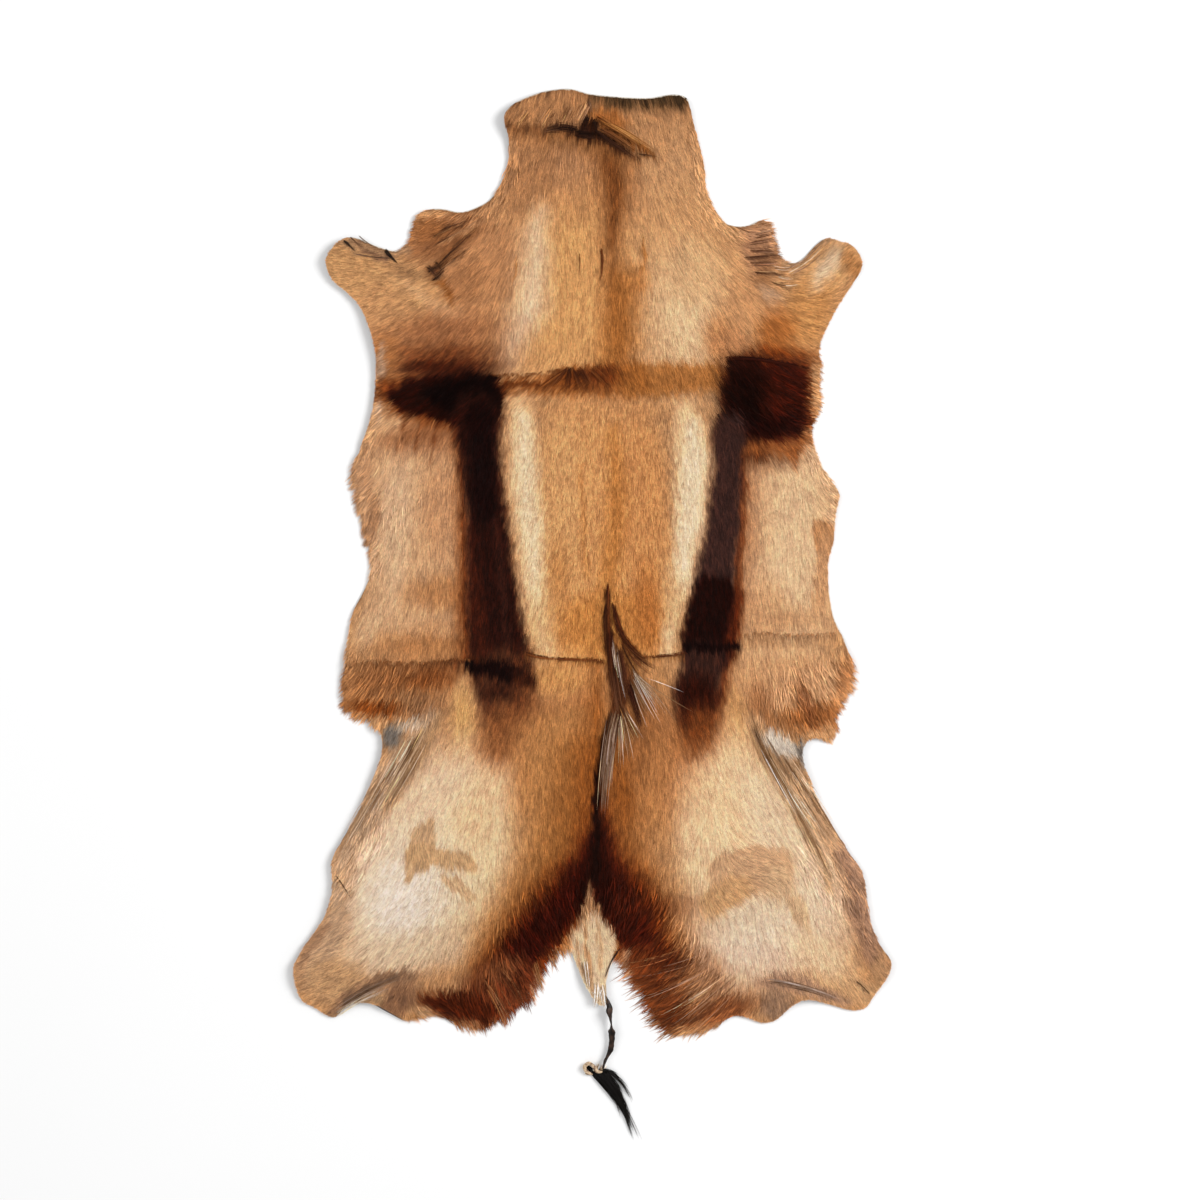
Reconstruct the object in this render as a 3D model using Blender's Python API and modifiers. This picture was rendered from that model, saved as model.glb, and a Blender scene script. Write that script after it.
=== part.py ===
"""Springbok hide, tanned with the hair on and laid out flat, hair side up.

The skin is one piece: neck, two forelegs, belly flaps, two hind legs and the
tail, whose lower half has dried into a thin twisted strip. It lies on the
plane Z = 0 with the neck towards +Y. The origin is at the middle of its
length and width, on that plane. The black tuft grows from the curled tip of
the tail, and is a piece of its own.
Lengths are in millimetres until a mesh is made, which is in metres.
"""

import math
from collections import namedtuple

import bmesh
import bpy
import numpy as np
from mathutils import Vector, geometry, noise

MM = 0.001

# Driving dimensions of the hide
LEATHER = 1.2
SHORT_HAIR = 3.0
RIM_THICKNESS = 2.6
LOCK_TIP_THICKNESS = 0.9
THICKEST = 16.0
RIM_ROUNDING = 20.0
GRID_PITCH = 15.5
EDGE_PITCH = 10.0
LUMP_HEIGHT = 0.8
LUMP_SIZE = 45.0

# Lifts lower than this leave the skin flat on the plane
RESTS_BELOW = 0.6

# A lock's back and tip as shares of its width along the edge, the back's share
# of the reach and of the rim's thickness, and how far its lift droops
LOCK_BACK = 0.34
LOCK_TIP = 0.62
BACK_REACH = 0.5
BACK_THICKNESS = 0.75
LOCK_DROOP = 0.35

# The reach of the first and last lock of a stretch, and what each next one adds
END_REACH = 0.45
END_STEP = 0.35

# Inner points keep this share of the grid's pitch from each other and the rim
POINT_GAP = 0.585
RIM_GAP = 0.4

# A coat line's height at its ends, and how fast it rises to all of it
LINE_END = 0.35
LINE_RISE = 3.0

# Points closer than this, in metres, are one
SAME_POINT = 0.00002

# The middle of the tables' length and width, which becomes the origin
MIDDLE = (-0.03, 1.08)

# A stretch of the hide's outline. Its points run clockwise from above. Locks
# is the number of hair locks along it, reach is how far they stand out, and
# flow is the compass angle in which their hair runs: 0 is +X and 90 is +Y.
Stretch = namedtuple("Stretch", "name locks reach flow points")
OUTLINE = (
    Stretch("neck_top", 0, 0, 0, (
        (-88, 498), (-80, 509), (-63, 518), (-45, 524), (-23, 526), (-3, 521),
        (27, 518), (57, 517), (79, 520), (93, 517))),
    Stretch("neck_right", 0, 0, 0, (
        (97, 508), (103, 481), (110, 456), (113, 424), (120, 408), (133, 392))),
    Stretch("chest_right", 4, 6, 20, (
        (152, 389), (172, 395), (177, 381), (182, 364))),
    Stretch("foreleg_right", 0, 0, 0, (
        (192, 353), (207, 354), (222, 369), (234, 377), (247, 373), (259, 369),
        (269, 353), (263, 336), (249, 316), (236, 292), (228, 274))),
    Stretch("shoulder_right", 5, 7, -35, (
        (225, 254), (225, 231), (223, 208))),
    Stretch("flank_right", 0, 0, 0, (
        (218, 184), (225, 158), (237, 136), (246, 122), (242, 101), (241, 76),
        (235, 54), (236, 26), (241, -2), (252, -26))),
    Stretch("belly_right", 9, 10, -60, (
        (257, -49), (254, -69), (244, -88), (238, -104), (238, -119))),
    Stretch("groin_right", 0, 0, 0, (
        (222, -121), (212, -126), (209, -144), (217, -166))),
    Stretch("hind_leg_right", 0, 0, 0, (
        (233, -204), (255, -236), (269, -256), (273, -284), (277, -309),
        (287, -329), (298, -346), (292, -364), (280, -381))),
    Stretch("hock_right", 0, 0, 0, (
        (273, -392), (257, -394), (232, -387), (213, -383), (199, -390),
        (185, -403), (172, -407), (157, -402), (142, -399))),
    Stretch("rump_right", 16, 18, -128, (
        (125, -407), (107, -412), (88, -414), (72, -402), (66, -386),
        (52, -366), (42, -350), (36, -338))),
    Stretch("tail_root", 0, 0, 0, (
        (28, -333), (19, -346), (14, -359), (13, -374), (15, -387), (6, -388),
        (-3, -375), (-10, -362), (-17, -344), (-25, -330))),
    Stretch("rump_left", 18, 16, -58, (
        (-40, -332), (-52, -344), (-60, -362), (-78, -384), (-98, -400),
        (-123, -404), (-148, -399), (-168, -396))),
    Stretch("hock_left", 0, 0, 0, (
        (-185, -405), (-200, -398), (-218, -388), (-236, -386), (-248, -393),
        (-259, -402))),
    Stretch("hind_leg_left", 0, 0, 0, (
        (-275, -393), (-290, -384), (-296, -369), (-298, -352), (-291, -336),
        (-276, -315), (-265, -296), (-258, -272), (-260, -246), (-248, -221),
        (-235, -199), (-221, -169))),
    Stretch("groin_left", 0, 0, 0, (
        (-211, -146), (-211, -119))),
    Stretch("belly_left", 10, 11, -122, (
        (-222, -99), (-238, -95), (-246, -80), (-244, -62), (-244, -40))),
    Stretch("flank_left", 0, 0, 0, (
        (-243, -19), (-238, 6), (-227, 28), (-219, 51))),
    Stretch("ribs_left", 10, 7, -155, (
        (-223, 76), (-229, 104), (-234, 131), (-235, 151))),
    Stretch("armpit_left", 0, 0, 0, (
        (-229, 173), (-219, 204), (-216, 231), (-216, 261), (-222, 286))),
    Stretch("foreleg_left", 0, 0, 0, (
        (-232, 309), (-246, 324), (-260, 336), (-266, 354), (-257, 369),
        (-246, 377), (-233, 376), (-216, 369), (-195, 364), (-183, 372))),
    Stretch("chest_left", 4, 4, 165, (
        (-178, 386), (-172, 401), (-161, 406))),
    Stretch("neck_left", 0, 0, 0, (
        (-148, 406), (-131, 403), (-113, 409), (-101, 417), (-91, 433),
        (-84, 451), (-82, 468), (-85, 484))),
)

# Where the skin lifts off the plane: an oval hump, its length turned by a
# compass angle. Rim curls, ripples of the stiff edges and the tented tail.
Lift = namedtuple("Lift", "name x y length width turned height")
LIFTS = (
    Lift("neck_corner_left", -92, 505, 60, 26, 60, 11),
    Lift("neck_lip_right", 100, 512, 50, 22, -40, 6),
    Lift("neck_lip_middle", 10, 530, 70, 16, 0, 4),
    Lift("chest_flap_left", -178, 408, 34, 18, 45, 5),
    Lift("chest_flap_right", 180, 396, 26, 18, -45, 5),
    Lift("foreleg_tip_left", -262, 372, 40, 26, 30, 9),
    Lift("foreleg_back_left", -232, 296, 60, 16, -55, 6),
    Lift("foreleg_tip_right", 272, 366, 40, 26, -50, 8),
    Lift("armpit_left", -224, 222, 60, 16, 90, 5),
    Lift("ribs_left", -246, 120, 60, 18, 90, 6),
    Lift("ribs_right", 256, 118, 40, 18, 90, 5),
    Lift("belly_corner_left", -258, -64, 46, 22, 80, 7),
    Lift("belly_corner_right", 262, -54, 46, 20, 90, 6),
    Lift("groin_left", -219, -134, 34, 14, 90, 6),
    Lift("groin_right", 217, -140, 34, 14, 90, 6),
    Lift("hind_edge_left", -256, -212, 70, 16, 62, 6),
    Lift("hind_ripple_left", -268, -286, 36, 15, 75, 6),
    Lift("hock_corner_left", -306, -356, 40, 22, 80, 7),
    Lift("hock_ripple_left", -226, -394, 16, 30, 0, 6),
    Lift("hind_edge_right", 252, -212, 70, 16, -58, 5),
    Lift("hind_ripple_right", 284, -296, 36, 15, 105, 6),
    Lift("hock_corner_right", 304, -354, 40, 22, 100, 7),
    Lift("hock_ripple_right", 212, -388, 16, 34, 0, 7),
    Lift("tail_tent", 6, -374, 36, 24, 85, 6),
)

# Soft bodies of the coat: where the hair stands deeper than elsewhere.
Deep = namedtuple("Deep", "name x y length width turned height")
DEEP_HAIR = (
    Deep("mane", 0, 470, 110, 60, 90, 1.0),
    Deep("shoulder_left", -150, 235, 70, 30, 8, 2.0),
    Deep("shoulder_right", 165, 210, 70, 45, -8, 2.4),
    Deep("belly_left", -215, -70, 60, 45, 20, 3.0),
    Deep("belly_right", 220, -80, 50, 50, -30, 3.0),
    Deep("rump_left", -60, -290, 110, 55, 40, 3.2),
    Deep("rump_right", 75, -300, 100, 60, -50, 3.4),
    Deep("rump_fringe_left", -110, -375, 80, 34, 12, 2.4),
    Deep("rump_fringe_right", 85, -380, 70, 38, -40, 2.4),
)

# Lines across the coat, from point to point. A furrow is where the hide was
# folded for storage or the hair parts, and a crest is a ridge of longer hair.
Line = namedtuple("Line", "name x0 y0 x1 y1 width height")
COAT_LINES = (
    Line("neck_wrinkle_left", -70, 488, -10, 482, 9, -2.0),
    Line("neck_wrinkle_right", -8, 483, 42, 458, 9, -2.0),
    Line("neck_tuft", -2, 494, 52, 462, 8, 3.0),
    Line("shoulder_fold", -205, 243, 218, 247, 9, -1.8),
    Line("loin_fold", -235, -42, 240, -38, 8, -1.6),
    Line("croup_fold", 30, -130, 190, -128, 7, -0.9),
    Line("thigh_fold", 20, -278, 150, -284, 7, -0.9),
    Line("crest_upper", 16, 24, 24, -60, 10, 4.0),
    Line("crest_fan", 24, -40, 70, -98, 13, 3.0),
    Line("crest_lower", 24, -60, 12, -180, 13, 4.5),
    Line("crest_parting", 8, -90, 4, -262, 6, -2.2),
    Line("thigh_ridge_left", -200, -140, -250, -225, 12, 2.0),
    Line("thigh_ridge_right", 200, -140, 262, -240, 12, 2.0),
)

# The dried end of the tail: a flat strip of skin, twisted as it dried. Its
# first stations are sunk into the root of the tail, with which it is one body.
# Roll is in degrees about its own line.
Station = namedtuple("Station", "x y z width roll")
TAIL_STEM = (
    Station(11.6, -378.5, 7.0, 3.2, 0),
    Station(14.2, -384.0, 7.2, 4.2, 5),
    Station(16.8, -390.0, 7.4, 6.0, 20),
    Station(17.0, -394.5, 7.2, 8.0, 40),
    Station(17.8, -400.0, 6.8, 6.2, 62),
    Station(18.7, -407.0, 6.3, 4.4, 85),
    Station(18.9, -411.0, 6.0, 5.0, 112),
    Station(19.2, -415.0, 5.7, 8.2, 140),
    Station(19.4, -420.5, 5.2, 6.4, 160),
    Station(19.0, -427.0, 4.8, 5.6, 172),
    Station(18.2, -433.0, 4.4, 5.6, 185),
    Station(16.2, -437.5, 4.2, 4.4, 200),
    Station(14.2, -441.5, 4.2, 3.6, 215),
    Station(12.6, -445.0, 4.3, 4.2, 225),
    Station(11.4, -448.6, 4.4, 3.4, 235),
    Station(10.6, -452.6, 4.4, 3.0, 240),
)
STEM_THINNESS = 0.42
STEM_SIDES = 10

# The tuft's head is the curled tip of the tail: ovals along its bent length.
Curl = namedtuple("Curl", "x y z length width height turned")
TAIL_HEAD = (
    Curl(-4.5, -452.0, 4.0, 9.5, 8.6, 8.0, 40),
    Curl(2.5, -456.0, 4.2, 12.0, 8.6, 8.4, -24),
    Curl(9.0, -456.6, 4.1, 11.0, 8.0, 8.2, -4),
)

# Locks of the tuft's black hair: root, bend and tip on the plane, and radius.
TuftLock = namedtuple("TuftLock", "root_x root_y bend_x bend_y tip_x tip_y radius")
TUFT_LOCKS = (
    TuftLock(1.8, -457.5, 25.5, -479.0, 40.2, -523.8, 1.5),
    TuftLock(4.0, -457.0, 28.0, -478.0, 39.3, -515.0, 1.5),
    TuftLock(6.2, -456.6, 28.5, -475.0, 36.5, -506.5, 1.4),
    TuftLock(8.4, -456.2, 27.0, -471.0, 33.0, -495.5, 1.3),
    TuftLock(0.9, -458.4, 20.0, -476.5, 35.5, -511.0, 1.3),
    TuftLock(10.4, -456.0, 26.0, -466.5, 30.5, -484.0, 1.2),
    TuftLock(11.6, -455.4, 28.5, -462.0, 37.2, -481.0, 1.2),
    TuftLock(12.8, -454.6, 24.5, -457.0, 31.0, -468.5, 1.1),
    TuftLock(0.9, -459.0, 17.5, -479.5, 30.0, -507.0, 1.1),
    TuftLock(0.8, -459.6, 15.5, -478.5, 26.5, -501.5, 1.0),
)
LOCK_TIP_RADIUS = 0.35
LOCK_RISE = 2.2
LOCK_STEPS = 7


def clear_scene():
    for old in list(bpy.data.objects):
        bpy.data.objects.remove(old, do_unlink=True)


def new_collection(name):
    made = bpy.data.collections.new(name)
    bpy.context.scene.collection.children.link(made)
    return made


def material(name, colour, roughness):
    made = bpy.data.materials.new(name)
    made.use_nodes = True
    shader = made.node_tree.nodes["Principled BSDF"]
    shader.inputs["Base Color"].default_value = (*colour, 1.0)
    shader.inputs["Roughness"].default_value = roughness
    shader.inputs["Metallic"].default_value = 0.0
    return made


def place(x, y, z):
    """A point of the tables in metres, counted from the origin."""
    return (x - MIDDLE[0]) * MM, (y - MIDDLE[1]) * MM, z * MM


def compass(degrees):
    """The unit vector of an angle, counted from +X towards +Y."""
    return np.array([math.cos(math.radians(degrees)), math.sin(math.radians(degrees))])


def through(before, start, end, after, steps):
    """Points from start up to end on the Catmull-Rom curve of four points."""
    t = (np.arange(steps) / steps)[:, None]
    return 0.5 * (
        2 * start
        + (end - before) * t
        + (2 * before - 5 * start + 4 * end - after) * t**2
        + (3 * start - before - 3 * end + after) * t**3
    )


def along(line, distances):
    """The points of a polyline at these distances from its start."""
    steps = np.linalg.norm(np.diff(line, axis=0), axis=1)
    run = np.concatenate([[0], np.cumsum(steps)])
    return np.stack([np.interp(distances, run, line[:, k]) for k in range(2)], axis=1)


def length_of(line):
    return float(np.linalg.norm(np.diff(line, axis=0), axis=1).sum())


def smooth_stretch(stretch, before, after):
    """The stretch as a close polyline, up to the first point of the next."""
    knots = np.array([before, *stretch.points, *after], float)
    fine = [
        through(*knots[k : k + 4], steps=8) for k in range(len(stretch.points))
    ]
    return np.concatenate([*fine, knots[-2][None]])


def cut_edge(line):
    """(points, thickness share) of a plain edge, without its last point."""
    count = max(1, round(length_of(line) / EDGE_PITCH))
    at = np.arange(count) / count * length_of(line)
    return along(line, at), np.ones(count)


def lock_edge(line, stretch):
    """(points, thickness share) of an edge of locks, each a valley, the bend
    of a lock's back and its tip. Their widths and lengths vary by waves."""
    widths = 1 + 0.34 * np.sin(2.3 * np.arange(stretch.locks))
    starts = np.concatenate([[0], np.cumsum(widths)]) * length_of(line) / widths.sum()
    flow = compass(stretch.flow)
    points, shares = [], []
    for k in range(stretch.locks):
        wide = starts[k + 1] - starts[k]
        root, back, tip = along(line, starts[k] + wide * np.array([0, LOCK_BACK, LOCK_TIP]))
        vary = 1 + 0.22 * math.sin(1.7 * k) + 0.16 * math.sin(4.1 * k + 1)
        ends = min(1.0, END_REACH + END_STEP * min(k, stretch.locks - 1 - k))
        reach = stretch.reach * vary * ends
        points += [root, back + flow * reach * BACK_REACH, tip + flow * reach]
        shares += [1.0, BACK_THICKNESS, LOCK_TIP_THICKNESS / RIM_THICKNESS]
    return np.array(points), np.array(shares)


def hide_outline():
    """The whole outline: its points, and the share of the rim's thickness."""
    points, shares = [], []
    for k, stretch in enumerate(OUTLINE):
        before = OUTLINE[k - 1].points[-1]
        following = OUTLINE[(k + 1) % len(OUTLINE)].points
        line = smooth_stretch(stretch, before, following[:2])
        made = lock_edge(line, stretch) if stretch.locks else cut_edge(line)
        points.append(made[0])
        shares.append(made[1])
    return np.concatenate(points), np.concatenate(shares)


def distance_to_outline(points, outline):
    """How far each point lies from the closed polyline."""
    nearest = np.full(len(points), np.inf)
    for start, end in zip(outline, np.roll(outline, -1, axis=0)):
        way = end - start
        share = np.clip(((points - start) @ way) / (way @ way), 0, 1)
        gap = np.linalg.norm(points - start - share[:, None] * way, axis=1)
        nearest = np.minimum(nearest, gap)
    return nearest


def inside_outline(points, outline):
    """Which points the closed polyline holds, by counting its crossings."""
    x, y = points[:, 0], points[:, 1]
    held = np.zeros(len(points), bool)
    for (x0, y0), (x1, y1) in zip(outline, np.roll(outline, -1, axis=0)):
        if y0 != y1:
            crosses = (y0 > y) != (y1 > y)
            held ^= crosses & (x < x0 + (y - y0) * (x1 - x0) / (y1 - y0))
    return held


def line_points():
    """Points on each coat line and beside it, so that the mesh can bend."""
    found = []
    for line in COAT_LINES:
        start, end = np.array([line.x0, line.y0]), np.array([line.x1, line.y1])
        run = np.linalg.norm(end - start)
        side = np.array([start[1] - end[1], end[0] - start[0]]) / run * line.width
        share = np.linspace(0, 1, max(2, round(run / GRID_PITCH) + 1))[:, None]
        middle = start + share * (end - start)
        found += [middle, middle + side, middle - side]
    return np.concatenate(found)


def inner_points(outline):
    """A triangular grid inside the outline, with the coat lines' points."""
    rows = np.arange(outline[:, 1].min(), outline[:, 1].max(), GRID_PITCH * math.sqrt(0.75))
    columns = np.arange(outline[:, 0].min(), outline[:, 0].max(), GRID_PITCH)
    grid = np.array([
        (x + (k % 2) * GRID_PITCH / 2, y) for k, y in enumerate(rows) for x in columns
    ])
    close = GRID_PITCH * POINT_GAP
    chosen = []
    for point in np.concatenate([line_points(), grid]):
        if all(abs(point[0] - x) + abs(point[1] - y) > close for x, y in chosen):
            chosen.append(tuple(point))
    chosen = np.array(chosen)
    clear = distance_to_outline(chosen, outline) > GRID_PITCH * RIM_GAP
    return chosen[clear & inside_outline(chosen, outline)]


def hump(points, row):
    """1 at the middle of an oval and falling to 0 around it, as a bell."""
    ahead = compass(row.turned)
    aside = np.array([-ahead[1], ahead[0]])
    off = points - np.array([row.x, row.y])
    return np.exp(-((off @ ahead) / row.length) ** 2 - ((off @ aside) / row.width) ** 2)


def underside_height(points):
    """How far the skin's underside is off the plane, flat where it rests."""
    height = sum(row.height * hump(points, row) for row in LIFTS)
    return np.maximum(0, height - RESTS_BELOW)


def coat_thickness(points, gap):
    """Leather and hair together: thin at the rim, deeper in the coat."""
    full = LEATHER + SHORT_HAIR + sum(row.height * hump(points, row) for row in DEEP_HAIR)
    for line in COAT_LINES:
        start = np.array([line.x0, line.y0])
        way = np.array([line.x1, line.y1]) - start
        share = np.clip(((points - start) @ way) / (way @ way), 0, 1)
        off = np.linalg.norm(points - start - share[:, None] * way, axis=1)
        fade = np.minimum(1, LINE_END + LINE_RISE * np.minimum(share, 1 - share))
        full = full + line.height * fade * np.exp(-((off / line.width) ** 2))
    lumps = np.array([noise.noise(Vector((x, y, 0)) / LUMP_SIZE) for x, y in points])
    full = full + LUMP_HEIGHT * lumps
    ease = np.clip(gap / RIM_ROUNDING, 0, 1)
    ease = ease * (2 - ease)
    return np.maximum(RIM_THICKNESS + (full - RIM_THICKNESS) * ease, LOCK_TIP_THICKNESS)


def make_hide(collection):
    """The underside as an open sheet, which Solidify thickens upwards by the
    share of THICKEST that its vertex group holds."""
    outline, shares = hide_outline()
    inner = inner_points(outline)
    gap = distance_to_outline(inner, outline)
    points = np.concatenate([outline, inner])
    ring = [(k, (k + 1) % len(outline)) for k in range(len(outline))]
    flat, _, faces, origins, _, _ = geometry.delaunay_2d_cdt(
        [Vector(p) for p in points], ring, [], 1, 1e-4
    )
    if len(flat) != len(points):
        raise RuntimeError("the hide's outline crosses itself")
    height = underside_height(points)
    height[: len(outline)][shares < 1] *= LOCK_DROOP
    thick = np.concatenate([
        RIM_THICKNESS * shares, coat_thickness(inner, gap)
    ])
    order = [origin[0] for origin in origins]
    mesh = bpy.data.meshes.new("hide")
    mesh.from_pydata(
        [place(*points[k], height[k]) for k in order],
        [],
        [tuple(face) for face in faces],
    )
    hide = bpy.data.objects.new("hide", mesh)
    collection.objects.link(hide)
    turn_up(mesh)
    coat = hide.vertex_groups.new(name="coat")
    for k, source in enumerate(order):
        coat.add([k], float(min(1.0, thick[source] / THICKEST)), "REPLACE")
    thicken = hide.modifiers.new("coat", "SOLIDIFY")
    thicken.thickness = THICKEST * MM
    thicken.offset = 1.0
    thicken.vertex_group = coat.name
    thicken.use_rim = True
    mesh.materials.append(material("fawn_hair", (0.42, 0.22, 0.10), 0.6))
    return hide


def turn_up(mesh):
    """Makes every face of a nearly flat sheet point to +Z."""
    shape = bmesh.new()
    shape.from_mesh(mesh)
    shape.normal_update()
    down = [face for face in shape.faces if face.normal.z < 0]
    bmesh.ops.reverse_faces(shape, faces=down)
    shape.to_mesh(mesh)
    shape.free()


def curve_object(name, rows, collection):
    """A polyline curve in 3D. Rows are (x, y, z, radius, tilt in radians)."""
    curve = bpy.data.curves.new(name, "CURVE")
    curve.dimensions = "3D"
    curve.twist_mode = "Z_UP"
    curve.use_fill_caps = True
    spline = curve.splines.new("POLY")
    spline.points.add(len(rows) - 1)
    for point, (x, y, z, radius, tilt) in zip(spline.points, rows):
        point.co = (*place(x, y, z), 1)
        point.radius = radius
        point.tilt = tilt
    made = bpy.data.objects.new(name, curve)
    collection.objects.link(made)
    return made


def as_mesh(curved, collection):
    """The curve's mesh as a new object, with its caps welded."""
    graph = bpy.context.evaluated_depsgraph_get()
    mesh = bpy.data.meshes.new_from_object(curved.evaluated_get(graph))
    shape = bmesh.new()
    shape.from_mesh(mesh)
    bmesh.ops.remove_doubles(shape, verts=shape.verts, dist=SAME_POINT)
    bmesh.ops.recalc_face_normals(shape, faces=shape.faces)
    shape.to_mesh(mesh)
    shape.free()
    made = bpy.data.objects.new(curved.name + "_mesh", mesh)
    made.matrix_world = curved.matrix_world
    collection.objects.link(made)
    bpy.data.objects.remove(curved)
    return made


def strip_section(collection):
    """The flat oval that the tail's skin is swept from, 1 unit wide."""
    section = bpy.data.curves.new("tail_section", "CURVE")
    section.dimensions = "2D"
    spline = section.splines.new("POLY")
    spline.points.add(STEM_SIDES - 1)
    for k, point in enumerate(spline.points):
        turn = 2 * math.pi * k / STEM_SIDES
        wide, high = 0.5 * math.cos(turn), 0.5 * STEM_THINNESS * math.sin(turn)
        point.co = (wide * MM, high * MM, 0, 1)
    spline.use_cyclic_u = True
    made = bpy.data.objects.new("tail_section", section)
    made.hide_render = True
    made.display_type = "WIRE"
    collection.objects.link(made)
    return made


def weld(piece, other):
    """Joins the other solid to the piece, which keeps it as a modifier."""
    other.hide_render = True
    other.display_type = "WIRE"
    join = piece.modifiers.new(other.name, "BOOLEAN")
    join.operation = "UNION"
    join.solver = "EXACT"
    join.object = other


def make_tail_stem(helpers):
    """The strip, whose width is the section's 1 mm times the radius."""
    rows = [(s.x, s.y, s.z, s.width, math.radians(s.roll)) for s in TAIL_STEM]
    swept = curve_object("tail_stem", rows, helpers)
    swept.data.bevel_mode = "OBJECT"
    swept.data.bevel_object = strip_section(helpers)
    bpy.context.view_layer.update()
    return as_mesh(swept, helpers)


def tuft_lock(k, row, helpers):
    """A tapering square rod along the bent line from root to tip. It comes
    down from the head and lies on the plane."""
    corners = [
        np.array([row.root_x, row.root_y]),
        np.array([row.bend_x, row.bend_y]),
        np.array([row.tip_x, row.tip_y]),
    ]
    rows = []
    for t in np.linspace(0, 1, LOCK_STEPS + 1):
        x, y = corners[0] * (1 - t) ** 2 + 2 * corners[1] * t * (1 - t) + corners[2] * t**2
        radius = row.radius + (LOCK_TIP_RADIUS - row.radius) * t**1.6
        rows.append((x, y, radius + LOCK_RISE * (1 - t) ** 2, radius, 0.0))
    lock = curve_object(f"tuft_lock_{k}", rows, helpers)
    lock.data.bevel_depth = MM
    lock.data.bevel_resolution = 0
    bpy.context.view_layer.update()
    return as_mesh(lock, helpers)


def head_oval(k, row, collection):
    """One oval of the curled tip, resting on the plane."""
    bpy.ops.mesh.primitive_uv_sphere_add(segments=14, ring_count=8, radius=0.5)
    oval = bpy.context.object
    oval.name = f"tail_head_{k}"
    ahead = compass(row.turned)
    for vertex in oval.data.vertices:
        x, y, z = vertex.co
        x, y = x * row.length, y * row.width
        vertex.co = place(
            row.x + x * ahead[0] - y * ahead[1],
            row.y + x * ahead[1] + y * ahead[0],
            row.z + z * row.height,
        )
    for other in list(oval.users_collection):
        other.objects.unlink(oval)
    collection.objects.link(oval)
    return oval


def make_tail_tuft(collection, helpers):
    """The curled tip of the tail with its locks, joined into one body."""
    tuft = head_oval(0, TAIL_HEAD[0], collection)
    tuft.name = "tail_tuft"
    for k, row in enumerate(TAIL_HEAD[1:], start=1):
        weld(tuft, head_oval(k, row, helpers))
    for k, row in enumerate(TUFT_LOCKS):
        weld(tuft, tuft_lock(k, row, helpers))
    tuft.data.materials.append(material("black_tail_hair", (0.012, 0.010, 0.010), 0.45))


def main():
    clear_scene()
    pieces = new_collection("springbok_hide")
    helpers = new_collection("helpers")
    hide = make_hide(pieces)
    weld(hide, make_tail_stem(helpers))
    make_tail_tuft(pieces, helpers)


main()
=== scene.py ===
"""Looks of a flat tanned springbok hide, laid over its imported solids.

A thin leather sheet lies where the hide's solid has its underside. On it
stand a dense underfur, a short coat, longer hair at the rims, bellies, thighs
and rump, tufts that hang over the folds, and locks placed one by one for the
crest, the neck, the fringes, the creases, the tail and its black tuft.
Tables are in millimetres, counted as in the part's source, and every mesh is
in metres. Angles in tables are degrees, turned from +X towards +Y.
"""

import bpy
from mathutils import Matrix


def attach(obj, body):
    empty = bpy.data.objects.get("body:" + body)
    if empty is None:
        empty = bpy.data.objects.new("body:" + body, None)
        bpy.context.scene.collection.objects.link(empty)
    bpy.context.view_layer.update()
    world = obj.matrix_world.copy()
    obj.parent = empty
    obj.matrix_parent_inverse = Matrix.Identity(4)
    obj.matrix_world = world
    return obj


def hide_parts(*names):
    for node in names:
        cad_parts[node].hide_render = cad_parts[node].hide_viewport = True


bl_info = {
    "name": "Springbok hide",
    "version": (1, 0, 0),
    "blender": (4, 5, 0),
    "location": "3D View > Sidebar > Hide",
    "description": "Builds the skin, coat and tail of a flat springbok hide on its frame",
    "category": "Add Mesh",
}

import math
from collections import namedtuple
from functools import lru_cache

import bpy
import numpy as np
from bpy.props import FloatProperty, FloatVectorProperty, PointerProperty
from mathutils import Vector, geometry
from mathutils.bvhtree import BVHTree

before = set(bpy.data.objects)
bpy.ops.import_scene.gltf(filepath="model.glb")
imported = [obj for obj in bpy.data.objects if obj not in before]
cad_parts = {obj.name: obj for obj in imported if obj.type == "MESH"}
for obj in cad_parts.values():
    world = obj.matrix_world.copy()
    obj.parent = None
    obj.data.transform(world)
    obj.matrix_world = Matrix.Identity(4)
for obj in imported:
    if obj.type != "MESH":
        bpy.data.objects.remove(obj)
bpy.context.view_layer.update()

MM = 0.001

# The middle of the tables' length and width, which is the origin
MIDDLE = (-0.03, 1.08)

# The lattice on which the solid is felt, the step along the skin's edge from
# which places are measured, and the box in which hair is sown
FELT_X, FELT_Y, FELT_PITCH = (-340, 344), (-430, 570), 4.0
EDGE_STEP = 6.0
SOWN_X, SOWN_Y = (-305, 305), (-420, 535)

# Half the side of the square that a surface's own picture coordinates cover
UV_HALF = 560.0

# Shade takes most from the blue of hair and least from its red, and light
# adds least to its blue
WARMTH = np.array([0.8, 1.05, 1.4])
PALE_HAIR = "#fbe2cf"

# How far hair droops past the skin's edge: by each mm, and by its square
DROOP, DROOP_SQUARED = 0.16, 0.012

# The photograph's frame: its middle (mm), its side (m), the lens and its
# sensor (mm)
FRAME_MIDDLE, FRAME_SIDE = (7.5, 15.5), 1.2
LENS, SENSOR = 85.0, 36.0

# Soft disk lamps, aimed at the origin: place and width (m), power (W)
LAMPS = (
    ("key_right", (2.6, 0.9, 2.4), 1.9, 100.0),
    ("fill_left", (-2.4, 0.6, 2.8), 2.4, 26.0),
)
WORLD_LIGHT = 0.62
FLOOR_HALF, FLOOR_HEIGHT = 4000.0, -0.3

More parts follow.
